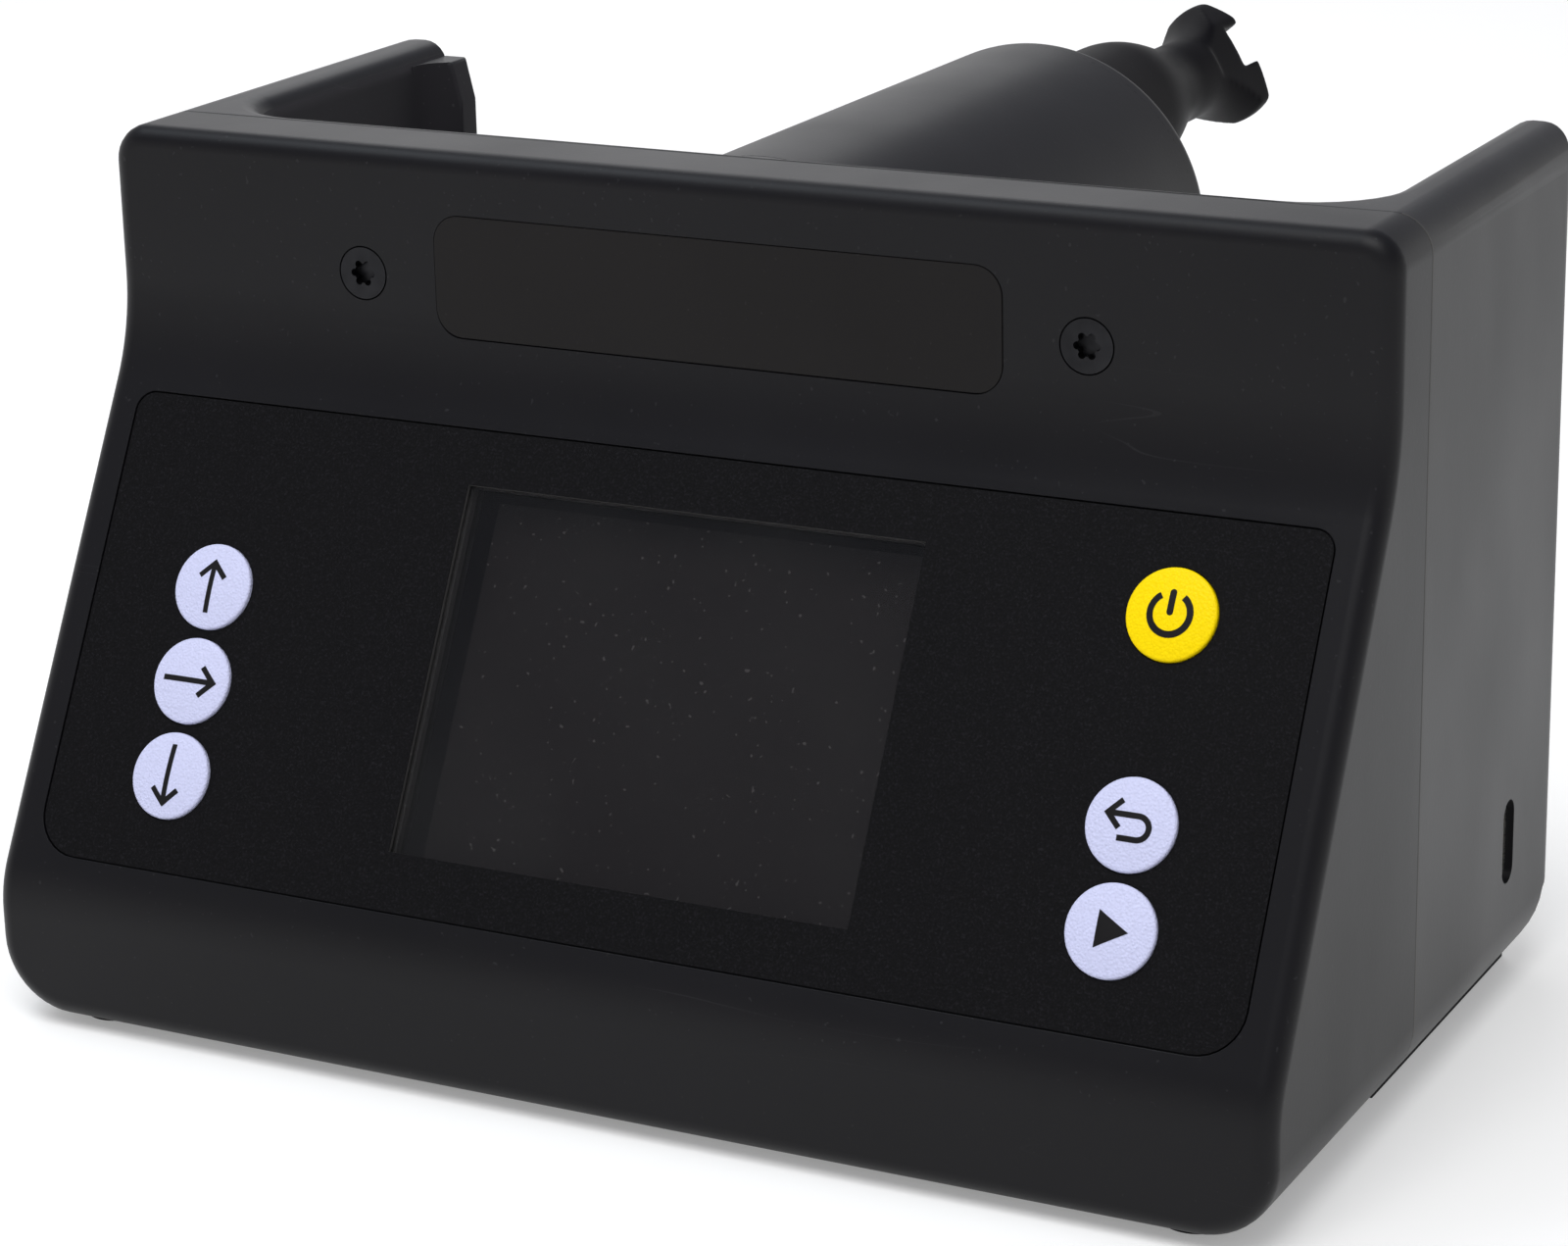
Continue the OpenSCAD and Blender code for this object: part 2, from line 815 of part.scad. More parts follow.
// Well in the cover for a key and its stem
module key_well() {
    translate([0, 0, -key_floor - key_travel - 0.05])
        cylinder(h = key_floor + key_travel + cut, r = key_bore_r);
    translate([0, 0, -wall - cut])
        cylinder(h = wall + cut, r = key_stem_r + 0.1);
}

// Outline of the overlay on the panel
module overlay_outline(gap) {
    round_area([-overlay_w / 2 - gap, -overlay_drop - overlay_h - gap],
        [overlay_w / 2 + gap, -overlay_drop + gap], overlay_top_r + gap, overlay_low_r + gap);
}

// Outline of the display window on the panel, with a margin round it
module window_outline(margin) {
    translate([window_shift, -window_y])
        square([window_w + 2 * margin, window_h + 2 * margin], center = true);
}

// Outline of the name plate on the upper front face
module plate_outline(gap) {
    top = housing_h - plate_drop;
    round_area([-plate_w / 2 - gap, top - plate_h - gap], [plate_w / 2 + gap, top + gap],
        plate_r + gap, plate_r + gap);
}

// Recess for the name plate
module plate_pocket() {
    translate([0, plate_recess - upper_depth, 0])
        rotate([90, 0, 0])
            linear_extrude(plate_recess + cut)
                plate_outline(seat_gap);
}

module rear_housing() {
    color("#2a2b2f") in_frame()
        difference() {
            union() {
                difference() {
                    rear_solid(0, 0);
                    difference() {
                        rear_solid(wall, cut);
                        cradle_block();
                        translate([-housing_w / 2, -2 * cut, 0])
                            cube([housing_w, rear_depth + 2 * cut, floor_t]);
                    }
                }
                base_bosses(1);
                at_cover_screws()
                    translate([0, 0, -upper_depth - cut])
                        cylinder(h = upper_depth + cut - wall, r = boss_r);
                translate([rail_x, socket_board_y - tray_t, floor_t - cut])
                    cube([rail_l, socket_board_t + 2 * tray_t, rail_h + cut]);
            }
            cradle_space();
            base_recess();
            base_holes();
            floor_opening();
            at_cover_screws()
                translate([0, 0, -cover_screw_l - 0.5])
                    cylinder(h = cover_screw_l, r = screw_r + thread_gap);
            on_sleeve(-cut) {
                cylinder(h = back_wall + 2 * cut, r = wire_hole_r);
                at_sleeve_screws()
                    cylinder(h = back_wall + 2 * cut, r = screw_r + seat_gap);
            }
            socket_hole();
            translate([socket_board_x, socket_board_y - 0.05, socket_board_z - 0.05])
                cube([socket_board_w + cut, socket_board_t + 0.1, socket_board_h]);
        }
}

// Opening in the rear floor above the base plate
module floor_opening() {
    side = 12;
    front = 6;
    round_low = [-base_half + side, front];
    round_high = [base_half - side, base_rear - 2 * base_screw_inset];
    translate([0, 0, base_t - cut])
        linear_extrude(floor_t - base_t + 2 * cut)
            round_area(round_low, round_high, base_corner_r, base_corner_r);
}

// Hole in the side wall for the charging socket
module socket_hole() {
    translate([housing_w / 2 - wall - cut, socket_y, socket_z])
        rotate([90, 0, 90])
            linear_extrude(wall + 2 * cut)
                long_hole(socket_l + 2 * seat_gap, socket_w + 2 * seat_gap);
}

module base_plate() {
    color("#1c1c1f") in_frame()
        difference() {
            linear_extrude(base_t)
                base_outline(0);
            for (spot = base_spots)
                translate([spot[0], spot[1], 0])
                    mirror([0, 0, 1])
                        countersunk_hole(screw_head_r, screw_r, base_t + cut);
        }
}

module base_screws() {
    color("#4a4a4e") in_frame()
        for (spot = base_spots)
            translate([spot[0], spot[1], 0.1])
                mirror([0, 0, 1])
                    countersunk_screw(screw_head_r, screw_r, base_screw_l - 0.1);
}

module rubber_feet() {
    front_mid = foot_front + front_foot_l / 2 - chin_depth;
    strip_l = rear_depth - strip_front - strip_rear;
    color("#141416") in_frame()
        for (side = [-1, 1]) {
            translate([side * foot_x, front_mid, -foot_h])
                linear_extrude(foot_h)
                    long_hole(front_foot_l, foot_w);
            mirror([side < 0 ? 1 : 0, 0, 0])
                rear_strip(strip_l);
        }
}

// Rear strip: flat below, hollowed above to the housing's round lower corner and rear edge
module rear_strip(length) {
    outer = housing_w / 2 - strip_side;
    strip_w = foot_w + 2;
    difference() {
        translate([outer - strip_w, strip_front, -foot_h])
            cube([strip_w, length, foot_h + low_corner_r / 2]);
        rear_solid(0, 0);
    }
}

module cover_screws() {
    color("#1b1b1d") in_frame()
        at_cover_screws()
            countersunk_screw(screw_head_r, screw_r, cover_screw_l);
}

module name_plate() {
    color("#1d1a1a") in_frame()
        translate([0, plate_recess - upper_depth, 0])
            rotate([90, 0, 0])
                linear_extrude(plate_t)
                    plate_outline(0);
}

module keypad_overlay() {
    color("#161619") in_frame() on_panel()
        translate([0, 0, -pane_depth])
            linear_extrude(overlay_t)
                difference() {
                    overlay_outline(0);
                    window_outline(0);
                    for (key = all_keys)
                        at_key(key)
                            circle(key_bore_r);
                }
}

module display_pane() {
    color("#242224") in_frame() on_panel()
        translate([0, 0, -pane_depth - pane_t])
            linear_extrude(pane_t)
                window_outline(pane_border);
}

module display_panel() {
    color("#1a1a1e") in_frame() on_panel()
        translate([0, 0, -board_depth])
            linear_extrude(board_depth - lcd_depth)
                window_outline(lcd_border);
}

module display_frame() {
    color("#e4e4e0") in_frame() on_panel()
        difference() {
            translate([0, 0, -board_depth])
                linear_extrude(board_depth - wall - 0.2)
                    window_outline(lcd_border + frame_wall + 0.1);
            translate([0, 0, -board_depth - cut])
                linear_extrude(board_depth - lcd_depth + cut)
                    window_outline(lcd_border + 0.1);
            translate([0, 0, -board_depth])
                linear_extrude(board_depth)
                    window_outline(window_gap);
        }
}

module main_board() {
    color("#1d5a36") in_frame() on_panel()
        translate([0, 0, -board_depth - board_t])
            linear_extrude(board_t)
                difference() {
                    area([-board_half, -board_low], [board_half, -board_top]);
                    at_posts()
                        circle(small_screw_r + seat_gap);
                }
}

module board_screws() {
    color("#9a9a9e") in_frame() on_panel()
        at_posts()
            translate([0, 0, -board_depth - board_t])
                mirror([0, 0, 1])
                    flat_screw(small_head_r, small_screw_r, 1.5, board_t + post_hole_d - 0.5);
}

module key_switches() {
    color("#303034") in_frame() on_panel()
        for (key = all_keys)
            at_key(key)
                translate([0, 0, -board_depth]) {
                    translate([-switch_w / 2, -switch_w / 2, 0])
                        cube([switch_w, switch_w, board_depth - switch_top - plunger_h]);
                    cylinder(h = board_depth - switch_top, r = key_stem_r);
                }
}

module board_chips() {
    chip_w = 10;
    chip_h = 1;
    small_chip_w = 7;
    coil_w = 9;
    coil_h = 3.5;
    chip_x = 24;
    chip_drop = 16;
    // Corner on the board's back, then width, length and height of each component
    chips = [[-chip_x, chip_drop, chip_w, chip_w, chip_h],
        [chip_x - 2 * small_chip_w, chip_drop, small_chip_w, small_chip_w, chip_h],
        [chip_x, chip_drop, coil_w, small_chip_w, coil_h],
        [-chip_w / 2, chip_drop + 2 * chip_w, chip_w, small_chip_w, chip_h]];
    color("#18181a") in_frame() on_panel()
        for (chip = chips)
            translate([chip[0], -board_top - chip[1], -board_depth - board_t - chip[4]])
                cube([chip[2], chip[3], chip[4]]);
}

module buzzer() {
    buzzer_r = 5;
    buzzer_h = 4;
    buzzer_x = 24 - board_half;
    buzzer_drop = 14;
    sound_hole_r = 1;
    sound_hole_d = 1.5;
    color("#101012") in_frame() on_panel()
        translate([buzzer_x, -board_top - buzzer_drop, -board_depth - board_t - buzzer_h])
            difference() {
                cylinder(h = buzzer_h, r = buzzer_r);
                translate([0, 0, -cut])
                    cylinder(h = cut + sound_hole_d, r = sound_hole_r);
            }
}

// Key with a low crown, a stem and a hook that keeps it in the cover
module key_button(key) {
    rim = key_rise;
    crown_r = (pow(key_r, 2) + pow(key_crown, 2)) / (2 * key_crown);
    at_key(key) {
        intersection() {
            translate([0, 0, -key_floor])
                cylinder(h = key_floor + rim + key_crown, r = key_r);
            translate([0, 0, rim + key_crown - crown_r])
                sphere(crown_r, $fn = 128);
        }
        translate([0, 0, -stem_end])
            cylinder(h = stem_end, r = key_stem_r);
        translate([0, 0, -stem_end])
            cylinder(h = key_hook_h, r = key_hook_r);
    }
}

module up_button() {
    color("#dadaf0") in_frame() on_panel() key_button(up_key);
}

module right_button() {
    color("#dadaf0") in_frame() on_panel() key_button(right_key);
}

module down_button() {
    color("#dadaf0") in_frame() on_panel() key_button(down_key);
}

module power_button() {
    color("#ffdc00") in_frame() on_panel() key_button(power_key);
}

module back_button() {
    color("#dadaf0") in_frame() on_panel() key_button(back_key);
}

module start_button() {
    color("#dadaf0") in_frame() on_panel() key_button(start_key);
}

// Frame on the battery cell's axis, with z along the cell
module on_cell() {
    translate([0, -cell_y, cell_z])
        rotate([0, 90, 0])
            children();
}

module battery_cell() {
    nub_r = 3.2;
    nub_l = 1;
    color("#3f6fb0") in_frame() on_cell() {
        translate([0, 0, -cell_l / 2])
            cylinder(h = cell_l - nub_l, r = cell_r);
        translate([0, 0, -cell_l / 2])
            cylinder(h = cell_l, r = nub_r);
    }
}

module battery_holder() {
    half = cell_r - 2;
    saddle_h = cell_z - floor_t - 2;
    color("#1a1a1c") in_frame()
        difference() {
            union() {
                translate([-tray_half, -cell_y - half, floor_t])
                    cube([2 * tray_half, 2 * half, saddle_h]);
                for (end = [-1, 1])
                    translate([end * (tray_half - tray_wall / 2) - tray_wall / 2, -cell_y - half, floor_t])
                        cube([tray_wall, 2 * half, cell_z - floor_t + cell_r / 2]);
            }
            on_cell()
                translate([0, 0, -tray_half + tray_wall])
                    cylinder(h = 2 * (tray_half - tray_wall), r = cell_r + 0.1);
        }
}

module battery_contacts() {
    leaf_w = 6;
    leaf_h = cell_r;
    pad_w = 3;
    pad_h = 4;
    color("#b9b9b4") in_frame()
        for (end = [-1, 1])
            translate([end * (tray_half - tray_wall - contact_t / 2), -cell_y, cell_z]) {
                cube([contact_t, leaf_w, leaf_h], center = true);
                translate([-end * contact_t, 0, 0])
                    cube([2 * contact_t, pad_w, pad_h], center = true);
            }
}

module charging_socket() {
    mouth_x = housing_w / 2 - socket_sunk;
    shell = 0.3;
    tongue_w = 6.6;
    tongue_t = 0.7;
    color("#b4b6ba") in_frame()
        translate([mouth_x, socket_y, socket_z])
            rotate([90, 0, 90]) {
                difference() {
                    translate([0, 0, -socket_deep])
                        linear_extrude(socket_deep)
                            long_hole(socket_l, socket_w);
                    translate([0, 0, -socket_deep + 1])
                        linear_extrude(socket_deep)
                            long_hole(socket_l - 2 * shell, socket_w - 2 * shell);
                }
                translate([-tongue_t / 2, -tongue_w / 2, -socket_deep + 0.5])
                    cube([tongue_t, tongue_w, socket_deep - 1.5]);
            }
}

module socket_board() {
    color("#1d5a36") in_frame()
        translate([socket_board_x, socket_board_y, socket_board_z])
            cube([socket_board_w, socket_board_t, socket_board_h]);
}

module drive_sleeve() {
    color("#232428") in_frame() on_sleeve(back_wall)
        difference() {
            union() {
                difference() {
                    cylinder(h = cap_y - back_wall, r = sleeve_r);
                    translate([0, 0, -cut])
                        cylinder(h = cap_y - back_wall + 2 * cut, r = bore_r);
                }
                at_sleeve_screws()
                    cylinder(h = sleeve_boss_l, r = sleeve_boss_r);
            }
            at_sleeve_screws()
                translate([0, 0, -cut])
                    cylinder(h = sleeve_boss_l - 2 + cut, r = screw_r + thread_gap);
        }
}

module sleeve_screws() {
    color("#9a9a9e") in_frame() on_sleeve(0)
        at_sleeve_screws()
            mirror([0, 0, 1])
                flat_screw(screw_head_r, screw_r, 2, sleeve_screw_l);
}

module sleeve_cap() {
    color("#232428") in_frame() on_sleeve(cap_y)
        difference() {
            union() {
                rotate_extrude()
                    cap_section();
                translate([0, 0, -spigot_l])
                    difference() {
                        cylinder(h = spigot_l, r = bore_r - run_gap);
                        translate([0, 0, -cut])
                            cylinder(h = spigot_l + cut, r = bore_r - run_gap - spigot_t);
                    }
            }
            translate([0, -shaft_offset, -cut])
                cylinder(h = cap_t + 2 * cut, r = shaft_r + 0.5);
            translate([0, -shaft_offset, cap_t - seal_l])
                cylinder(h = seal_l + cut, r = seal_r + 0.02);
            at_cap_screws()
                translate([0, 0, cap_t])
                    countersunk_hole(small_head_r, small_screw_r, cap_t + cut);
        }
}

// Section of the cap: a disc with a round outer edge
module cap_section() {
    area([0, 0], [sleeve_r - cap_edge_r, cap_t]);
    area([0, 0], [sleeve_r, cap_t - cap_edge_r]);
    intersection() {
        translate([sleeve_r - cap_edge_r, cap_t - cap_edge_r])
            circle(cap_edge_r);
        area([0, 0], [sleeve_r + cut, cap_t + cut]);
    }
}

module cap_screws() {
    color("#6e6e72") in_frame() on_sleeve(sleeve_end)
        at_cap_screws()
            translate([0, 0, -0.05])
                countersunk_screw(small_head_r, small_screw_r, cap_t + case_t - 0.2);
}

module shaft_seal() {
    color("#101012") in_frame() on_spindle(sleeve_end - seal_l)
        difference() {
            cylinder(h = seal_l - 0.1, r = seal_r);
            translate([0, 0, -cut])
                cylinder(h = seal_l + 2 * cut, r = shaft_r + run_gap);
        }
}

module gearbox_case() {
    depth = cap_y - gear_plate_y;
    color("#8d8f94") in_frame()
        difference() {
            on_sleeve(gear_plate_y)
                difference() {
                    cylinder(h = depth, r = case_r);
                    translate([0, 0, -cut])
                        cylinder(h = depth - case_t + cut, r = case_inner_r);
                    at_cap_screws()
                        translate([0, 0, depth - case_t - cut])
                            cylinder(h = case_t + 2 * cut, r = small_screw_r + thread_gap);
                }
            on_spindle(cap_y - case_t - cut)
                cylinder(h = case_t + 2 * cut, r = shaft_r + bush_wall + 0.02);
            on_cluster(cap_y - case_t - cut)
                cylinder(h = case_t + cut - 0.5, r = pin_r + 0.02);
        }
}

module gearbox_plate() {
    color("#b9bbbf") in_frame()
        difference() {
            on_sleeve(motor_y)
                union() {
                    cylinder(h = gear_plate_t, r = case_r);
                    cylinder(h = gear_plate_t + 1, r = case_inner_r - 0.05);
                }
            on_sleeve(motor_y - cut) {
                cylinder(h = gear_plate_t + 3 * cut, r = motor_shaft_r + 1);
                at_motor_screws()
                    cylinder(h = gear_plate_t + 3 * cut, r = small_screw_r + seat_gap);
            }
            on_spindle(motor_y - cut)
                cylinder(h = gear_plate_t + 3 * cut, r = journal_r + bush_wall + 0.02);
            on_cluster(motor_y + 0.5)
                cylinder(h = gear_plate_t + cut, r = pin_r + 0.02);
        }
}

// Plain bush ending at z = length
module bush(inner_r, length) {
    difference() {
        cylinder(h = length, r = inner_r + bush_wall);
        translate([0, 0, -cut])
            cylinder(h = length + 2 * cut, r = inner_r + run_gap);
    }
}

module output_bushes() {
    color("#b08a4a") in_frame() {
        on_spindle(cap_y - case_t - 1)
            bush(shaft_r, case_t + 1);
        on_spindle(motor_y)
            bush(journal_r, gear_plate_t + 1);
    }
}

module output_shaft() {
    color("#c4c6ca") in_frame()
        difference() {
            union() {
                on_spindle(motor_y + 0.2)
                    cylinder(h = gear_2_y - face_2 - motor_y, r = journal_r);
                on_spindle(gear_2_y - face_2)
                    cylinder(h = spindle_y - gear_2_y + face_2 + 0.5, r = shaft_r);
                on_spindle(spindle_y)
                    linear_extrude(shaft_grip)
                        flatted(shaft_r);
            }
            on_spindle(shaft_end - spindle_screw_l)
                cylinder(h = spindle_screw_l + cut, r = small_screw_r + thread_gap);
        }
}

module output_gear() {
    color("#c9a45a") in_frame()
        difference() {
            translate([0, gear_2_y, spindle_z])
                gear_wheel(output_teeth, module_2, output_phase, face_2);
            on_spindle(gear_2_y - face_2 - cut)
                cylinder(h = face_2 + 2 * cut, r = shaft_r + 0.01);
        }
}

module cluster_gear() {
    centre_z = sleeve_z + cluster_up;
    color("#c9a45a") in_frame()
        difference() {
            union() {
                translate([cluster_x, gear_1_y, centre_z])
                    gear_wheel(wheel_teeth, module_1, cluster_phase, face_1);
                translate([cluster_x, gear_2_y, centre_z])
                    gear_wheel(small_teeth, module_2, cluster_phase, gear_2_y - gear_1_y + 0.5);
            }
            on_cluster(gear_1_y - face_1 - cut)
                cylinder(h = gear_2_y - gear_1_y + face_1 + 2 * cut, r = pin_r + run_gap);
        }
}

module cluster_pin() {
    color("#c4c6ca") in_frame() on_cluster(motor_y + 0.7)
        cylinder(h = cap_y - motor_y - 1.4, r = pin_r);
}

module motor_pinion() {
    color("#c9a45a") in_frame()
        difference() {
            translate([0, gear_1_y, sleeve_z])
                gear_wheel(pinion_teeth, module_1, 0, face_1 + 0.6);
            on_sleeve(gear_1_y - face_1 - cut)
                cylinder(h = face_1 + 2 * cut, r = motor_shaft_r + 0.01);
        }
}

// Sizes inside the motor
can_wall = 1;
bell_t = 2;
magnet_t = 2;
magnet_gap = 0.5;
magnet_room = 11;
magnet_split = 8;
magnet_l = motor_l - magnet_room;
rotor_r = motor_r - can_wall - magnet_t - magnet_gap;
rotor_front = 6;
rotor_l = magnet_l - rotor_front;
rotor_y = motor_y - rotor_front;
bush_l = 3;
motor_head_r = 2;

module motor_can() {
    color("#b9bbbf") in_frame() on_sleeve(motor_back + bell_t)
        difference() {
            cylinder(h = motor_l - bell_t, r = motor_r);
            translate([0, 0, -cut])
                cylinder(h = motor_l - bell_t - can_wall - 0.5 + cut, r = motor_r - can_wall);
            cylinder(h = motor_l, r = motor_shaft_r + bush_wall + 0.02);
            at_motor_screws()
                translate([0, 0, motor_l - bell_t - can_wall - 1])
                    cylinder(h = can_wall + 2 * cut, r = small_screw_r + thread_gap);
        }
}

module motor_end_bell() {
    color("#2c2c30") in_frame() on_sleeve(motor_back)
        difference() {
            union() {
                cylinder(h = bell_t, r = motor_r);
                cylinder(h = bell_t + 2, r = motor_r - can_wall - 0.05);
            }
            translate([0, 0, 1])
                cylinder(h = bell_t + 2, r = motor_shaft_r + bush_wall + 0.02);
        }
}

module motor_magnets() {
    outer = motor_r - can_wall - 0.02;
    color("#3a3a3e") in_frame() on_sleeve(motor_y - can_wall - 2 - magnet_l)
        difference() {
            cylinder(h = magnet_l, r = outer);
            translate([0, 0, -cut])
                cylinder(h = magnet_l + 2 * cut, r = outer - magnet_t);
            translate([-motor_r, -magnet_split / 2, -cut])
                cube([2 * motor_r, magnet_split, magnet_l + 2 * cut]);
        }
}

module motor_rotor() {
    slots = 5;
    slot_gap = 1.6;
    slot_in = 3;
    color("#7d7f84") in_frame() on_sleeve(rotor_y - rotor_l)
        linear_extrude(rotor_l)
            difference() {
                circle(rotor_r);
                circle(motor_shaft_r + 0.01);
                for (slot = [0:slots - 1])
                    rotate(slot * 360 / slots)
                        translate([rotor_r - slot_in, -slot_gap / 2])
                            square([slot_in + cut, slot_gap]);
            }
}

module motor_shaft() {
    color("#c4c6ca") in_frame() on_sleeve(motor_back + 1.2)
        cylinder(h = gear_1_y - motor_back - 1.2, r = motor_shaft_r);
}

module motor_bushes() {
    color("#b08a4a") in_frame() {
        on_sleeve(motor_y - bush_l)
            bush(motor_shaft_r, bush_l);
        on_sleeve(motor_back + 1)
            bush(motor_shaft_r, bush_l);
    }
}

module motor_screws() {
    head_h = 1;
    bite = can_wall + 0.2;
    color("#9a9a9e") in_frame() on_sleeve(gear_plate_y + 1)
        at_motor_screws()
            flat_screw(motor_head_r, small_screw_r, head_h, gear_plate_t + 1 + bite);
}

// Half section of the spindle: stem, curved shoulder, neck and the round of the coupling head
module spindle_section() {
    steps = 16;
    shoulder_mid = (stem_r + neck_r) / 2;
    shoulder_drop = (stem_r - neck_r) / 2;
    head_y = spindle_l - head_l;
    edge = 0.8;
    wing_l = head_l - head_rim;
    shoulder = [for (i = [0:steps])
        [shoulder_mid + shoulder_drop * cos(180 * i / steps), stem_l + shoulder_l * i / steps]];
    wing = [for (i = [0:steps])
        [neck_r + (head_r - neck_r) * (1 - cos(90 * i / steps)), head_y + wing_l * i / steps]];
    polygon(concat([[0, 0], [stem_r - edge, 0], [stem_r, edge]], shoulder, wing,
        [[head_r, spindle_l - edge], [head_r - edge, spindle_l], [0, spindle_l]]));
}

// Area outside one rounded side of the coupling head, at a distance from the axis
module head_side(reach) {
    difference() {
        area([-2 * head_r, 0], [2 * head_r, 2 * head_r]);
        translate([0, reach - head_side_r])
            circle(head_side_r, $fn = 180);
    }
}

// Cut that shapes one side of the coupling head and runs out in a curve towards the neck
module head_scoop(reach) {
    scoop_r = 6;
    side_sag = 1.2;
    flat_start = spindle_l - head_l + 5;
    intersection() {
        translate([0, reach - side_sag + scoop_r, flat_start])
            rotate([0, 90, 0]) {
                cylinder(h = 4 * head_r, r = scoop_r, center = true);
                translate([-spindle_l / 2, 0, 0])
                    cube([spindle_l, 2 * scoop_r, 4 * head_r], center = true);
            }
        linear_extrude(2 * spindle_l)
            head_side(reach);
    }
}

module drive_spindle() {
    screw_seat = shaft_grip + spindle_web;
    color("#1f2024") in_frame() on_spindle(spindle_y)
        rotate(head_turn)
            difference() {
                rotate_extrude()
                    spindle_section();
                for (side = [0, 180]) {
                    rotate(side)
                        head_scoop(head_flat / 2);
                    rotate(side - head_corner_turn)
                        head_scoop(head_corner);
                }
                rotate(-slot_skew)
                    translate([-slot_w / 2, -2 * head_r, spindle_l - slot_d])
                        cube([slot_w, 4 * head_r, slot_d + cut]);
                rotate(-head_turn)
                    translate([0, 0, -cut])
                        linear_extrude(shaft_grip + cut + 0.2)
                            flatted(shaft_r + 0.02);
                cylinder(h = spindle_l, r = small_screw_r + seat_gap);
                translate([0, 0, screw_seat])
                    cylinder(h = spindle_l, r = small_head_r + seat_gap);
            }
}

module spindle_screw() {
    color("#9a9a9e") in_frame() on_spindle(spindle_y + shaft_grip + spindle_web)
        flat_screw(small_head_r, small_screw_r, spindle_head_t, spindle_web + spindle_screw_l - 1);
}

front_cover();
rear_housing();
base_plate();
base_screws();
rubber_feet();
cover_screws();
name_plate();
keypad_overlay();
display_pane();
display_panel();
display_frame();
main_board();
board_screws();
key_switches();
board_chips();
buzzer();
up_button();
right_button();
down_button();
power_button();
back_button();
start_button();
battery_cell();
battery_holder();
battery_contacts();
charging_socket();
socket_board();
drive_sleeve();
sleeve_screws();
sleeve_cap();
cap_screws();
shaft_seal();
gearbox_case();
gearbox_plate();
output_bushes();
output_shaft();
output_gear();
cluster_gear();
cluster_pin();
motor_pinion();
motor_can();
motor_end_bell();
motor_magnets();
motor_rotor();
motor_shaft();
motor_bushes();
motor_screws();
drive_spindle();
spindle_screw();
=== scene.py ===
import json
import math
import bmesh
import bpy
from mathutils import Matrix, Vector


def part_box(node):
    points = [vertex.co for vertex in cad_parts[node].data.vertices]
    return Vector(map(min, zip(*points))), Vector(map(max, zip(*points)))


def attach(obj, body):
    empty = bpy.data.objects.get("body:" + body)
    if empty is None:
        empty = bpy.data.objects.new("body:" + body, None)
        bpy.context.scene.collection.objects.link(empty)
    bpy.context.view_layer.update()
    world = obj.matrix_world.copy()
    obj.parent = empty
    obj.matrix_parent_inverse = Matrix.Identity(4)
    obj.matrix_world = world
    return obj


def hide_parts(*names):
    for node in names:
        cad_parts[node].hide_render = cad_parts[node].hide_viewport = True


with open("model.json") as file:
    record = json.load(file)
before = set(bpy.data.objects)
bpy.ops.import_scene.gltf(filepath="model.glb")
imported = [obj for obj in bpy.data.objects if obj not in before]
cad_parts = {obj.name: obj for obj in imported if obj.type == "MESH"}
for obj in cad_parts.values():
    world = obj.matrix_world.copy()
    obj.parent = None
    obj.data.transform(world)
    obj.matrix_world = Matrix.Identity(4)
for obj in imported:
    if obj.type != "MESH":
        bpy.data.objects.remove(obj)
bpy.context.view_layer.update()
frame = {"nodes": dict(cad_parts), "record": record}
nodes = frame["nodes"]
mm = 0.001

# sizes shared by the two shells, in millimetres, from the seam (y) and the underside (z)
housing = {"width": 145.0, "height": 90.3, "rearDepth": 46.5, "wall": 2.5, "floor": 4.0, "axisHeight": 77.7}
rearLow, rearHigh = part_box("rear_housing")
seamY = rearHigh.y / mm - housing["rearDepth"]
underside = rearLow.z / mm
halfW = housing["width"] / 2
topZ = housing["height"]
lyingDown = (math.pi / 2, 0, 0)  # turn of a cylinder that lies along y
longEdge = 5  # an edge longer than this belongs to the block, not to a fillet


def spot(x, y, z):
    return Vector((x, y + seamY, z + underside)) * mm


def local(co):
    return Vector((co.x / mm, co.y / mm - seamY, co.z / mm - underside))


def deselectAll():
    if bpy.context.object and bpy.context.object.mode == "EDIT":
        bpy.ops.object.mode_set(mode="OBJECT")
    bpy.ops.object.select_all(action="DESELECT")


def makeActive(obj):
    deselectAll()
    obj.select_set(True)
    bpy.context.view_layer.objects.active = obj


def settle(obj):
    makeActive(obj)
    bpy.ops.object.transform_apply(location=True, rotation=True, scale=True)
    return obj


def applyModifier(obj, name, kind, **settings):
    makeActive(obj)
    mod = obj.modifiers.new(name, kind)
    for setting, value in settings.items():
        setattr(mod, setting, value)
    bpy.ops.object.modifier_apply(modifier=mod.name)


# a line is walked one vertex at a time and left in edit mode, all selected
def walkLine(name, points):
    deselectAll()
    bpy.ops.mesh.primitive_plane_add(size=mm, location=spot(*points[0]))
    obj = bpy.context.object
    obj.name = name
    bpy.ops.object.mode_set(mode="EDIT")
    bpy.ops.mesh.select_mode(type="VERT")
    bpy.ops.mesh.select_all(action="SELECT")
    bpy.ops.mesh.merge(type="CENTER")
    for a, b in zip(points, points[1:]):
        step = (Vector(b) - Vector(a)) * mm
        bpy.ops.mesh.extrude_vertices_move(TRANSFORM_OT_translate={"value": step})
    bpy.ops.mesh.select_all(action="SELECT")
    return obj


# the walked outline is filled, then pulled into a solid
def traceSolid(name, points, pull):
    obj = walkLine(name, points)
    bpy.ops.mesh.edge_face_add()
    bpy.ops.mesh.extrude_region_move(TRANSFORM_OT_translate={"value": Vector(pull) * mm})
    bpy.ops.mesh.select_all(action="SELECT")
    bpy.ops.mesh.normals_make_consistent(inside=False)
    bpy.ops.object.mode_set(mode="OBJECT")
    return settle(obj)


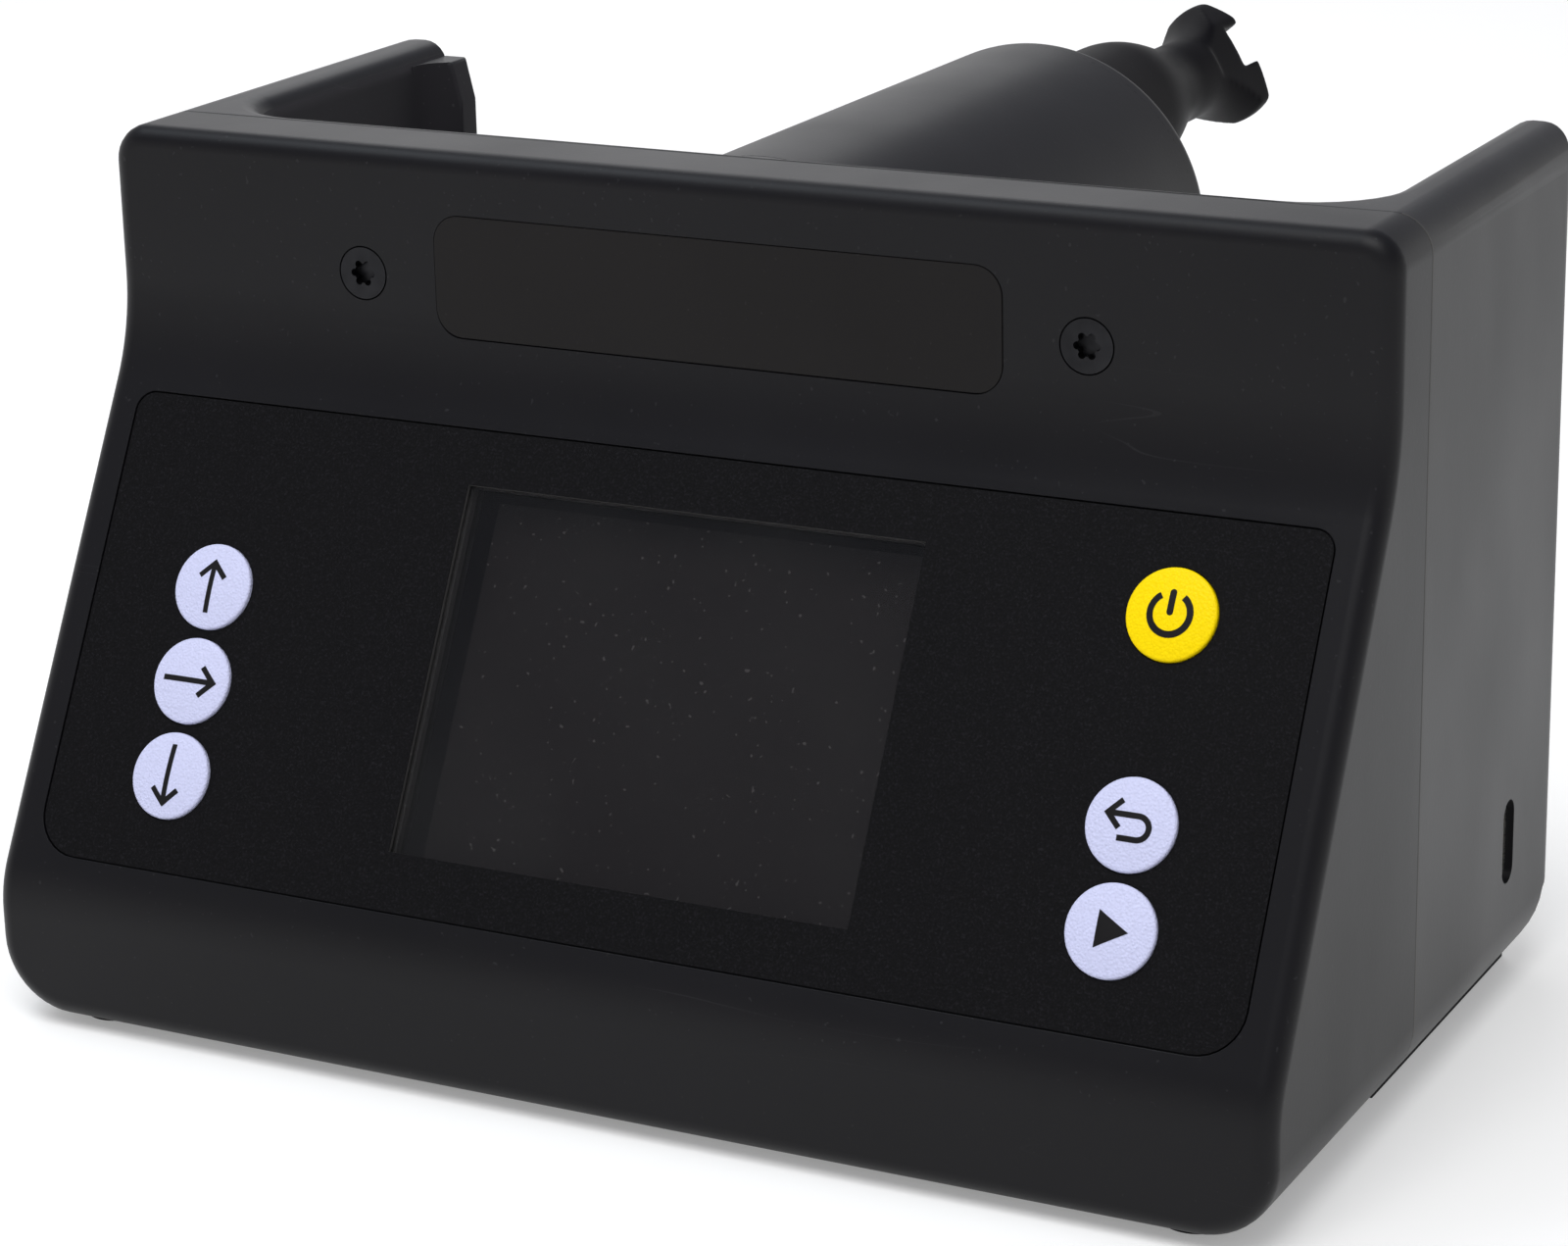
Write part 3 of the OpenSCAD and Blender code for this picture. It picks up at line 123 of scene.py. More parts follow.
def addCylinder(name, centre, radius, depth, turn=(0, 0, 0), sides=64, endRadius=None):
    deselectAll()
    if endRadius is None:
        endRadius = radius
    bpy.ops.mesh.primitive_cone_add(vertices=sides, radius1=radius * mm, radius2=endRadius * mm,
                                    depth=depth * mm, location=spot(*centre), rotation=turn)
    obj = bpy.context.object
    obj.name = name
    return settle(obj)


def addBlock(name, low, high):
    deselectAll()
    middle = [(a + b) / 2 for a, b in zip(low, high)]
    bpy.ops.mesh.primitive_cube_add(size=mm, location=spot(*middle))
    obj = bpy.context.object
    obj.name = name
    obj.scale = [b - a for a, b in zip(low, high)]
    return settle(obj)


# edges are picked in code: the test gets both ends in millimetres and the faces beside the edge
def roundEdges(obj, test, radius, steps):
    makeActive(obj)
    bpy.ops.object.mode_set(mode="EDIT")
    bpy.ops.mesh.select_mode(type="EDGE")
    bpy.ops.mesh.select_all(action="DESELECT")
    bm = bmesh.from_edit_mesh(obj.data)
    bm.normal_update()
    count = 0
    for edge in bm.edges:
        if test(local(edge.verts[0].co), local(edge.verts[1].co), edge.link_faces):
            edge.select_set(True)
            count += 1
    bmesh.update_edit_mesh(obj.data)
    bpy.ops.mesh.bevel(offset=radius * mm, segments=steps, profile=0.5, affect="EDGES", clamp_overlap=False)
    bpy.ops.object.mode_set(mode="OBJECT")
    print("rounded", obj.name, count, "edges")


def near(a, b, slack=0.02):
    return abs(a - b) < slack


def bothAtY(a, b, y, slack=0.02):
    return near(a.y, y, slack) and near(b.y, y, slack)


def bothAtZ(a, b, z):
    return near(a.z, z) and near(b.z, z)


def lengthwise(a, b):
    return abs(a.y - b.y) > longEdge


def upright(a, b):
    return abs(a.z - b.z) > longEdge


# edges between the faces that pass the test and the rest
def borderOf(faceTest):
    return lambda a, b, f: len(f) == 2 and faceTest(f[0]) != faceTest(f[1])


# several radii at once: the corner where the edges meet is blended
def roundMixed(obj, picks, steps):
    mesh = obj.data
    weight = mesh.attributes.new("bevel_weight_edge", "FLOAT", "EDGE")
    widest = max(radius for test, radius in picks)
    for edge in mesh.edges:
        a, b = (local(mesh.vertices[i].co) for i in edge.vertices)
        for test, radius in picks:
            if test(a, b):
                weight.data[edge.index].value = radius / widest
    applyModifier(obj, "round", "BEVEL", width=widest * mm, segments=steps, limit_method="WEIGHT",
                  use_clamp_overlap=False)


def carve(obj, tool, operation="DIFFERENCE"):
    applyModifier(obj, "carve", "BOOLEAN", operation=operation, solver="EXACT", object=tool)
    bpy.data.objects.remove(tool)


def joinAll(objs):
    deselectAll()
    for obj in objs:
        obj.select_set(True)
    bpy.context.view_layer.objects.active = objs[0]
    bpy.ops.object.join()
    return objs[0]


def tidyMesh(obj, angle=32, merge=0.004):
    makeActive(obj)
    bpy.ops.object.mode_set(mode="EDIT")
    bpy.ops.mesh.select_all(action="SELECT")
    bpy.ops.mesh.remove_doubles(threshold=merge * mm)
    bpy.ops.mesh.dissolve_degenerate(threshold=merge * mm)
    bpy.ops.mesh.normals_make_consistent(inside=False)
    bpy.ops.object.mode_set(mode="OBJECT")
    bpy.ops.object.shade_smooth_by_angle(angle=math.radians(angle))
    applyModifier(obj, "even", "WEIGHTED_NORMAL", keep_sharp=True, weight=80)


def softenCorners(obj, width, steps=2, angle=60):
    applyModifier(obj, "soften", "BEVEL", width=width * mm, segments=steps, limit_method="ANGLE",
                  angle_limit=math.radians(angle), use_clamp_overlap=True, miter_outer="MITER_ARC")


# the test gets a face's middle in millimetres and its normal, and gives the place of its finish in the list
def paintFaces(obj, looks, pick):
    for look in looks:
        obj.data.materials.append(look)
    for face in obj.data.polygons:
        face.material_index = int(pick(local(face.center), face.normal))


def arc(centre, radius, start, end, steps):
    angles = [math.radians(start + (end - start) * i / steps) for i in range(steps + 1)]
    return [(centre[0] + radius * math.cos(a), centre[1] + radius * math.sin(a)) for a in angles]


def roundRect(left, right, low, high, lowR, highR, steps=8):
    return (arc((left + lowR, low + lowR), lowR, 180, 270, steps)
            + arc((right - lowR, low + lowR), lowR, 270, 360, steps)
            + arc((right - highR, high - highR), highR, 0, 90, steps)
            + arc((left + highR, high - highR), highR, 90, 180, steps))


# control panel: u across, d down the slope from the bend, h out of the slope
panel = {"tilt": 28.7, "bendY": -9.4, "bendZ": 68.4, "slope": 62.0, "bendR": 22.0, "chinR": 12.0}
lean = math.radians(panel["tilt"])
panelTurn = (math.pi / 2 - lean, 0, 0)
outOfPanel = Vector((0, -math.cos(lean), math.sin(lean)))
downPanel = Vector((0, -math.sin(lean), -math.cos(lean)))


def onPanel(u, d, h):
    return (u, panel["bendY"] - d * math.sin(lean) - h * math.cos(lean),
            panel["bendZ"] - d * math.cos(lean) + h * math.sin(lean))


def panelSolid(name, outline, low, high):
    return traceSolid(name, [onPanel(u, d, low) for u, d in outline], outOfPanel * (high - low))


keys = {"x": 53.4, "first": 16.85, "pitch": 10.22, "radius": 4.62, "bore": 4.7, "rise": 0.3, "crown": 0.42,
        "wellH": 3.5, "filmHoleH": 4, "stemHoleR": 1.7, "stemHoleH": 6, "stemHoleAt": -2}
# side of the panel, and row down the slope
keyPlaces = {"up": (-1, 1), "right": (-1, 2), "down": (-1, 3),
             "power": (1, 0), "back": (1, 2), "start": (1, 3)}


def keyCentre(name):
    side, row = keyPlaces[name]
    return side * keys["x"], keys["first"] + row * keys["pitch"]


def keySpot(name, h):
    return onPanel(*keyCentre(name), h)


overlay = {"half": 68.1, "top": 7.0, "low": 57.6, "topR": 2.1, "lowR": 4.8, "sunk": 0.1, "thick": 0.5,
           "gap": 0.15, "edge": 0.06, "cut": 3}


def overlayOutline(grow):
    points = roundRect(-overlay["half"] - grow, overlay["half"] + grow, -overlay["low"] - grow,
                       -overlay["top"] + grow, overlay["lowR"] + grow, overlay["topR"] + grow)
    return [(u, -v) for u, v in points]


# the wall of the opening runs between two heights over the slope; it is painted pale, standing in for the
# light it catches
window = {"u": 0.5, "d": 32.15, "width": 52.2, "height": 38.7, "paneEdge": 2.15, "paneDeep": 1.6, "gap": 0.05,
          "cut": 8, "wallLow": -2.6, "wallHigh": -0.7, "slack": 0.1}


def windowOutline(grow):
    w, h = window["width"] / 2 + grow, window["height"] / 2 + grow
    u, d = window["u"], window["d"]
    return [(u - w, d - h), (u + w, d - h), (u + w, d + h), (u - w, d + h)]


def inWindow(p, grow):
    off = p - Vector(onPanel(window["u"], window["d"], 0))
    grow += window["slack"]
    return abs(off.x) < window["width"] / 2 + grow and abs(off.dot(downPanel)) < window["height"] / 2 + grow


plate = {"half": 32.2, "top": 83.8, "low": 70.95, "radius": 3.0, "sunk": 0.3, "thick": 0.4, "gap": 0.08,
         "edge": 0.08, "cut": 3}


def plateOutline(grow):
    corner = plate["radius"] + grow
    points = roundRect(-plate["half"] - grow, plate["half"] + grow, plate["low"] - grow, plate["top"] + grow,
                       corner, corner)
    return [(x, panel["bendY"] + plate["sunk"], z) for x, z in points]


base = {"half": 57.65, "front": -27.324, "rear": 34.65, "cornerR": 3.15, "deep": 2.0, "past": 1,
        "screwX": 53.3, "screwY": (-22.97, 30.3), "screwR": 1.53, "holeZ": 4, "holeL": 10}


def carveBase(shell):
    corner = base["cornerR"]
    outline = roundRect(-base["half"], base["half"], base["front"], base["rear"], corner, corner)
    seat = [(x, y, -base["past"]) for x, y in outline]
    carve(shell, traceSolid("base_seat", seat, (0, 0, base["past"] + base["deep"])))
    holes = [addCylinder("base_hole", (side * base["screwX"], y, base["holeZ"]), base["screwR"],
                         base["holeL"], sides=32) for side in (-1, 1) for y in base["screwY"]]
    carve(shell, joinAll(holes))


coverScrew = {"x": 41.1, "z": 76.8, "headR": 2.9, "threadR": 1.65, "cone": 1.25, "land": 0.3,
              "landGrow": 0.01, "bite": 0.02, "past": 1.0, "holeAt": 2, "holeL": 8}


# through hole, countersink and a short straight land for each cover screw
def carveCoverScrews(shell):
    s = coverScrew
    y, z = panel["bendY"], s["z"]
    for x in (-s["x"], s["x"]):
        carve(shell, addCylinder("through", (x, y + s["holeAt"], z), s["threadR"], s["holeL"], lyingDown, 48))
        carve(shell, addCylinder("sink", (x, y + s["land"] + s["cone"] / 2, z), s["threadR"], s["cone"],
                                 lyingDown, 48, s["headR"]))
        landY = y + (s["land"] + s["bite"] - s["past"]) / 2
        carve(shell, addCylinder("land", (x, landY, z), s["headR"] + s["landGrow"],
                                 s["land"] + s["bite"] + s["past"], lyingDown, 48))


# front cover: side profile pulled across, then the fillets the moulding has
frontCover = {"lowR": 8.0, "topR": 4.0, "edgeR": 2.2, "seamR": 0.22, "recessR": 0.12, "bendSteps": 10,
              "chinSteps": 7, "pastSeam": 1, "above": 2}


def coverProfile():
    chinZ = panel["bendZ"] - panel["slope"] * math.cos(lean)
    chinY = panel["bendY"] - panel["slope"] * math.sin(lean)
    tangent = math.tan(lean / 2)
    chinArc = arc((chinY + panel["chinR"], chinZ - panel["chinR"] * tangent), panel["chinR"],
                  180, 180 - panel["tilt"], frontCover["chinSteps"])
    bendArc = arc((panel["bendY"] - panel["bendR"], panel["bendZ"] + panel["bendR"] * tangent),
                  panel["bendR"], -panel["tilt"], 0, frontCover["bendSteps"])
    return [(0, 0), (chinY, 0)] + chinArc + bendArc + [(panel["bendY"], topZ), (0, topZ)], chinY, chinZ


def buildFrontCover():
    c = frontCover
    profile, chinY, chinZ = coverProfile()
    shell = traceSolid("front_shell", [(-halfW, y, z) for y, z in profile], (housing["width"], 0, 0))
    atSide = lambda a, b: lengthwise(a, b) and near(abs(a.x), halfW) and near(a.x, b.x)
    roundEdges(shell, lambda a, b, f: atSide(a, b) and bothAtZ(a, b, 0), c["lowR"], steps=12)
    roundEdges(shell, lambda a, b, f: atSide(a, b) and bothAtZ(a, b, topZ), c["topR"], steps=8)
    roundEdges(shell, borderOf(lambda face: face.normal.y < -0.3), c["edgeR"], steps=6)
    roundEdges(shell, borderOf(lambda face: face.normal.y > 0.9), c["seamR"], steps=2)

    wall, floor, ceiling = housing["wall"], housing["floor"], topZ - housing["wall"]
    drop = wall * math.tan(lean / 2)
    inner = [(c["pastSeam"], floor), (chinY + wall, floor), (chinY + wall, chinZ - drop),
             (panel["bendY"] + wall, panel["bendZ"] - drop), (panel["bendY"] + wall, ceiling),
             (c["pastSeam"], ceiling)]
    hollow = traceSolid("hollow", [(wall - halfW, y, z) for y, z in inner],
                        (housing["width"] - 2 * wall, 0, 0))
    roundEdges(hollow, lambda a, b, f: bothAtZ(a, b, floor) and lengthwise(a, b), c["lowR"] - wall, steps=6)
    carve(shell, hollow)

    deep = overlay["sunk"] + overlay["thick"]
    carve(shell, panelSolid("overlay_seat", overlayOutline(overlay["gap"]), -deep, c["above"]))
    rise = lambda p: (p - Vector(onPanel(0, 0, 0))).dot(outOfPanel)
    outward = lambda faces: [face.normal.dot(outOfPanel) for face in faces]
    atRecess = lambda f: len(f) == 2 and max(outward(f)) > 0.99 and abs(min(outward(f))) < 0.1
    roundEdges(shell, lambda a, b, f: near(rise(a), 0) and near(rise(b), 0) and atRecess(f),
               c["recessR"], steps=2)
    carve(shell, panelSolid("pane_seat", windowOutline(window["paneEdge"]), -window["paneDeep"], c["above"]))
    carve(shell, panelSolid("window_hole", windowOutline(window["gap"]), -window["cut"], c["above"]))
    wells = [addCylinder("well", keySpot(k, 0), keys["bore"], keys["wellH"], panelTurn) for k in keyPlaces]
    carve(shell, joinAll(wells))
    stems = [addCylinder("stem_hole", keySpot(k, keys["stemHoleAt"]), keys["stemHoleR"], keys["stemHoleH"],
                         panelTurn, sides=32) for k in keyPlaces]
    carve(shell, joinAll(stems))
    carve(shell, traceSolid("plate_seat", plateOutline(plate["gap"]), (0, -plate["cut"], 0)))
    carveCoverScrews(shell)
    carveBase(shell)
    tidyMesh(shell)
    atWall = lambda p: window["wallLow"] < rise(p) < window["wallHigh"] and inWindow(p, window["paneEdge"])
    # painted light: the wall of the opening gets a pale finish for the light it catches
    paintFaces(shell, [finishes["satin_black"], finishes["window_wall_painted_light"]], lambda p, n: atWall(p))
    print("front cover", len(shell.data.polygons), "faces")
    return shell


# rear housing: a rounded block with the round cradle cut into it
rearHousing = {"uprightR": 5.0, "lowR": 8.0, "rearLowR": 11.0, "topR": 4.0, "innerTopR": 2.8, "seamR": 0.22,
               "cradleR": 64.4, "backWall": 3.0, "filletR": 8.0, "past": 5,
               "lipR": 60.5, "lipT": 3.5, "sweepR": 3.8, "lipEdge": 0.4, "leftDrop": 1.7, "rightDrop": 3.6,
               "leadH": 4.7, "lead": 1.2, "leadPast": 0.5, "lipBite": 0.1, "sweepPast": 0.2, "lipIn": 0.02,
               "lipCut": (-12, 8), "sleeveZ": 69.0, "seatR": 20.88, "seatDeep": 1.98, "wireR": 7.0,
               "screwRing": 16.6, "screwR": 1.65, "screwTurns": (45, 135, 225, 315), "holeY": 1, "holeL": 10,
               "socketY": 28.8, "socketZ": 17.55, "socketL": 9.24, "socketW": 3.5, "socketFlat": 0.01}


def trough(name, radius, front, back, top, steps=96):
    axis = housing["axisHeight"]
    low = [(x, front, z) for x, z in arc((0, axis), radius, 180, 360, steps)]
    return traceSolid(name, low + [(radius, front, top), (-radius, front, top)], (0, back - front, 0))


def fromAxis(p):
    return math.hypot(p.x, p.z - housing["axisHeight"])


# lips at the ends of the arms, swept into the cradle's wall and flared at the top
def buildLips(depth, over, endRound):
    r = rearHousing
    leftTop, rightTop = topZ - r["leftDrop"], topZ - r["rightDrop"]
    inner = depth - r["lipT"]
    lip = trough("lip", r["cradleR"] + r["lipBite"], inner - r["sweepR"] - r["sweepPast"],
                 depth - r["lipIn"], leftTop)
    plug = trough("plug", r["cradleR"], r["past"], inner, over)
    roundEdges(plug, endRound(inner), r["sweepR"], steps=8)
    carve(lip, plug)
    cutFrom, cutTo = (depth + y for y in r["lipCut"])
    carve(lip, trough("lip_opening", r["lipR"], cutFrom, depth + r["past"], over))
    carve(lip, addBlock("right_step", (0, cutFrom, rightTop), (halfW, cutTo, topZ)))
    flare = [(-r["lipR"], leftTop - r["leadH"]), (r["lipR"], rightTop - r["leadH"]),
             (r["lipR"] + r["lead"], rightTop + r["leadPast"]),
             (-r["lipR"] - r["lead"], leftTop + r["leadPast"])]
    carve(lip, traceSolid("flare", [(x, cutFrom, z) for x, z in flare], (0, cutTo - cutFrom, 0)))
    inRim = lambda p: fromAxis(p) < r["cradleR"] - 0.8
    sharp = lambda f: f[0].normal.angle(f[1].normal, 0) > 0.6
    roundEdges(lip, lambda a, b, f: inRim(a) and inRim(b) and sharp(f), r["lipEdge"], steps=3)
    return lip


def buildRearHousing():
    r = rearHousing
    depth, past, over = housing["rearDepth"], r["past"], topZ + r["past"]
    shell = addBlock("rear_shell", (-halfW, 0, 0), (halfW, depth, topZ))
    roundMixed(shell, [(lambda a, b: bothAtZ(a, b, 0) and lengthwise(a, b), r["lowR"]),
                       (lambda a, b: bothAtZ(a, b, 0) and bothAtY(a, b, depth), r["rearLowR"]),
                       (lambda a, b: bothAtY(a, b, depth) and upright(a, b), r["uprightR"])], steps=10)
    crown = addBlock("crown", (-halfW, -past, -past), (halfW, depth + past, topZ))
    roundEdges(crown, lambda a, b, f: lengthwise(a, b) and bothAtZ(a, b, topZ), r["topR"], steps=8)
    carve(shell, crown, "INTERSECT")
    roundEdges(shell, borderOf(lambda face: face.normal.y < -0.9), r["seamR"], steps=2)

    # the round end of a trough, without the edge above the block
    endRound = lambda y: lambda a, b, f: bothAtY(a, b, y) and min(a.z, b.z) < over - 1
    cradle = trough("cradle", r["cradleR"], r["backWall"], depth + past, over)
    roundEdges(cradle, endRound(r["backWall"]), r["filletR"], steps=8)
    carve(shell, cradle)
    inside = lambda p: abs(p.x) < r["cradleR"] + 0.05 and p.y > 1
    roundEdges(shell, lambda a, b, f: bothAtZ(a, b, topZ) and inside(a) and inside(b), r["innerTopR"],
               steps=6)

    # seat behind the sleeve's end, where the rounded edge would leave a gap
    seat = addCylinder("sleeve_seat", (0, r["backWall"] - 1, r["sleeveZ"]), r["seatR"], r["seatDeep"],
                       lyingDown, sides=128)
    carve(shell, seat, "UNION")
    carve(shell, buildLips(depth, over, endRound), "UNION")

    wall, floor, back = housing["wall"], housing["floor"], depth - housing["wall"]
    space = addBlock("space", (wall - halfW, -past, floor), (halfW - wall, back, topZ - wall))
    atFloor = lambda a, b: bothAtZ(a, b, floor) and (lengthwise(a, b) or bothAtY(a, b, back))
    roundEdges(space, lambda a, b, f: atFloor(a, b) or (bothAtY(a, b, back) and upright(a, b)),
               r["lowR"] - wall, steps=6)
    carve(space, trough("cradle_wall", r["cradleR"] + wall, -2 * past, depth + past, over))
    carve(shell, space)
    carveBase(shell)

    holes = [addCylinder("wire_hole", (0, r["holeY"], r["sleeveZ"]), r["wireR"], r["holeL"], lyingDown)]
    for a in map(math.radians, r["screwTurns"]):
        x, z = r["screwRing"] * math.cos(a), r["sleeveZ"] + r["screwRing"] * math.sin(a)
        holes.append(addCylinder("sleeve_hole", (x, r["holeY"], z), r["screwR"], r["holeL"], lyingDown, 32))
    carve(shell, joinAll(holes))
    w, h = r["socketW"] / 2, r["socketL"] / 2
    corner = w - r["socketFlat"]
    slot = [(halfW - past, r["socketY"] + y, r["socketZ"] + z)
            for y, z in roundRect(-w, w, -h, h, corner, corner)]
    carve(shell, traceSolid("socket_slot", slot, (2 * past, 0, 0)))
    tidyMesh(shell, merge=0.0005)

    # the cradle is duller, its tint painted lighter to stand in for light in its shade, and a painted
    # highlight line follows the seam on both sides
    axis = housing["axisHeight"]
    reach = lambda p: abs(p.x) if p.z > axis else fromAxis(p)
    inCradle = lambda p, n: (r["backWall"] - 0.1 < p.y and reach(p) < r["cradleR"] + 0.5
                             and (p.z < axis or n.z < 0.5) and not (n.y > 0.9 and p.y > depth - 0.5))
    atSeam = lambda p, n: p.y < r["seamR"] + 0.03 and -0.95 < n.y < -0.2 and abs(n.x) > 0.2
    paintFaces(shell, [finishes["satin_rear"], finishes["cradle_painted_light"], finishes["seam_painted_highlight"]],
               lambda p, n: 1 if inCradle(p, n) else 2 * atSeam(p, n))
    print("rear housing", len(shell.data.polygons), "faces")
    return shell


# drive spindle: a spun profile, rounded sides and a slot cut into its head, moulded edges softened all over
spindle = {"start": 73.5, "length": 56.1, "stemR": 8.5, "stem": 19.0, "shoulder": 19.0, "neckR": 5.0,
           "headR": 7.85, "head": 13.6, "rim": 2.8, "edge": 0.8, "side": 4.6, "sideR": 25.0, "corner": 5.9,
           "cornerTurn": 30.0, "sag": 1.2, "scoopR": 6.0, "scoopIn": 5.0, "turn": 60.0, "slotW": 5.2,
           "slotD": 4.5, "slotSkew": 10.0, "wide": 20, "past": 5, "boreR": 3.05, "bore": 18.2, "borePast": 2,
           "screwR": 2.35, "wellAt": 42, "wellL": 40, "skin": 0.24, "soften": 28, "fade": (8.0, 36.0)}


def spindleLine():
    s = spindle
    edge = s["edge"]
    line = [(s["stemR"] + x, y) for x, y in arc((-edge, edge), edge, -90, 0, 5)]
    line.append((s["stemR"], s["stem"]))
    middle, swing = (s["stemR"] + s["neckR"]) / 2, (s["stemR"] - s["neckR"]) / 2
    for i in range(1, 33):
        line.append((middle + swing * math.cos(math.pi * i / 32), s["stem"] + s["shoulder"] * i / 32))
    headStart, flare = s["length"] - s["head"], s["head"] - s["rim"]
    for i in range(0, 25):
        line.append((s["neckR"] + (s["headR"] - s["neckR"]) * (1 - math.cos(math.pi / 2 * i / 24)),
                     headStart + flare * i / 24))
    rim = arc((0, 0), edge, 0, 90, 5)
    return line + [(s["headR"] - edge + x, s["length"] - edge + y) for x, y in rim]


# local z of each cutter lies along the spindle, x is turned to the wings
def onSpindle(angle, x, y, z):
    place = Matrix.Translation(spot(0, spindle["start"], housing["axisHeight"]))
    place = place @ Matrix.Rotation(-math.pi / 2, 4, "X")
    return place @ Matrix.Rotation(math.radians(angle), 4, "Z") @ Matrix.Translation(Vector((x, y, z)) * mm)


def turnedBlock(name, low, high, angle):
    deselectAll()
    bpy.ops.mesh.primitive_cube_add(size=1)
    tool = bpy.context.object
    tool.name = name
    size = [(b - a) * mm for a, b in zip(low, high)]
    middle = [(a + b) / 2 for a, b in zip(low, high)]
    tool.matrix_world = onSpindle(angle, *middle) @ Matrix.Diagonal((*size, 1))
    return settle(tool)


def headScoop(reach, angle):
    s = spindle
    inner, start = reach - s["sag"], s["length"] - s["head"] + s["scoopIn"] - s["scoopR"]
    scoop = turnedBlock("scoop", (-s["wide"], inner, start),
                        (s["wide"], inner + 2 * s["scoopR"], s["length"] + s["past"]), angle)
    first = s["start"] + start
    roundEdges(scoop, lambda a, b, f: bothAtY(a, b, first, 0.05) and (a - b).length > 30,
               s["scoopR"] - 0.01, steps=12)
    deselectAll()
    bpy.ops.mesh.primitive_cylinder_add(vertices=160, radius=s["sideR"] * mm, depth=3 * s["length"] * mm)
    drum = bpy.context.object
    drum.matrix_world = onSpindle(angle, 0, reach - s["sideR"], s["length"])
    carve(scoop, settle(drum))
    return scoop


def buildSpindle():
    s = spindle
    axis, first = housing["axisHeight"], s["start"]
    points = [(0, first, axis)] + [(x, first + y, axis) for x, y in spindleLine()]
    body = walkLine("spindle_body", points + [(0, first + s["length"], axis)])
    bpy.ops.mesh.spin(steps=72, angle=2 * math.pi, center=spot(0, first, axis), axis=(0, 1, 0))
    bpy.ops.mesh.select_all(action="SELECT")
    bpy.ops.mesh.remove_doubles(threshold=0.002 * mm)
    bpy.ops.mesh.normals_make_consistent(inside=False)
    bpy.ops.object.mode_set(mode="OBJECT")
    settle(body)
    for side in (0, 180):
        carve(body, headScoop(s["side"], s["turn"] + side))
        carve(body, headScoop(s["corner"], s["turn"] + side - s["cornerTurn"]))
    carve(body, turnedBlock("slot", (-s["slotW"] / 2, -s["wide"], s["length"] - s["slotD"]),
                            (s["slotW"] / 2, s["wide"], s["length"] + s["past"]), s["turn"] - s["slotSkew"]))
    applyModifier(body, "skin", "REMESH", mode="VOXEL", voxel_size=s["skin"] * mm)
    applyModifier(body, "soften", "SMOOTH", factor=0.5, iterations=s["soften"])
    boreY = first + s["bore"] / 2 - s["borePast"] / 2
    carve(body, addCylinder("bore", (0, boreY, axis), s["boreR"], s["bore"] + s["borePast"], lyingDown, 48))
    carve(body, addCylinder("screw_well", (0, first + s["wellAt"], axis), s["screwR"], s["wellL"],
                            lyingDown, 48))
    tidyMesh(body, angle=40)
    print("spindle", len(body.data.polygons), "faces")
    return body


# keypad film and name plate
def buildOverlay():
    deep = overlay["sunk"] + overlay["thick"]
    film = panelSolid("overlay_sheet", overlayOutline(0), -deep, -overlay["sunk"])
    carve(film, panelSolid("window_hole", windowOutline(0), -overlay["cut"], overlay["cut"]))
    holes = [addCylinder("key_hole", keySpot(k, 0), keys["bore"], keys["filmHoleH"], panelTurn)
             for k in keyPlaces]
    carve(film, joinAll(holes))
    softenCorners(film, overlay["edge"])
    tidyMesh(film)
    # painted light: the film's edge around the window gets the same pale finish for the light it catches
    paintFaces(film, [finishes["overlay_film"], finishes["window_wall_painted_light"]],
               lambda p, n: abs(n.dot(outOfPanel)) < 0.5 and inWindow(p, 0))
    return film


def buildPlate():
    film = traceSolid("plate_sheet", plateOutline(0), (0, -plate["thick"], 0))
    softenCorners(film, plate["edge"])
    tidyMesh(film)
    return film


# viewing area of the display: a sheet on the display panel, its own margin left dark
sheet = {"left": 1.75, "top": 0.8, "past": 1.2, "deep": 4.2, "thick": 0.06, "bury": 0.02, "edge": 0.02}


def buildSheet():
    (left, top), (right, low) = windowOutline(0)[0], windowOutline(0)[2]
    left, top = left + sheet["left"], top + sheet["top"]
    right, low = right + sheet["past"], low + sheet["past"]
    film = panelSolid("display_sheet", [(left, top), (right, top), (right, low), (left, low)],
                      -sheet["deep"] - sheet["bury"], -sheet["deep"] + sheet["thick"])
    softenCorners(film, sheet["edge"])
    tidyMesh(film)
    return film


# key caps: a crowned disc on a stem with a hook
keyCap = {"floor": 1.2, "rings": 9, "rimR": 0.22, "stemR": 1.6, "hookR": 2.1, "hookTop": 2.55,
          "stemEnd": 3.35}


def pickFace(obj, test):
    bpy.ops.mesh.select_mode(type="FACE")
    bpy.ops.mesh.select_all(action="DESELECT")
    bm = bmesh.from_edit_mesh(obj.data)
    for face in bm.faces:
        face.select_set(test(face))
    bmesh.update_edit_mesh(obj.data)


def pullOut(distance):
    bpy.ops.mesh.extrude_region_move(TRANSFORM_OT_translate={"value": outOfPanel * distance * mm})


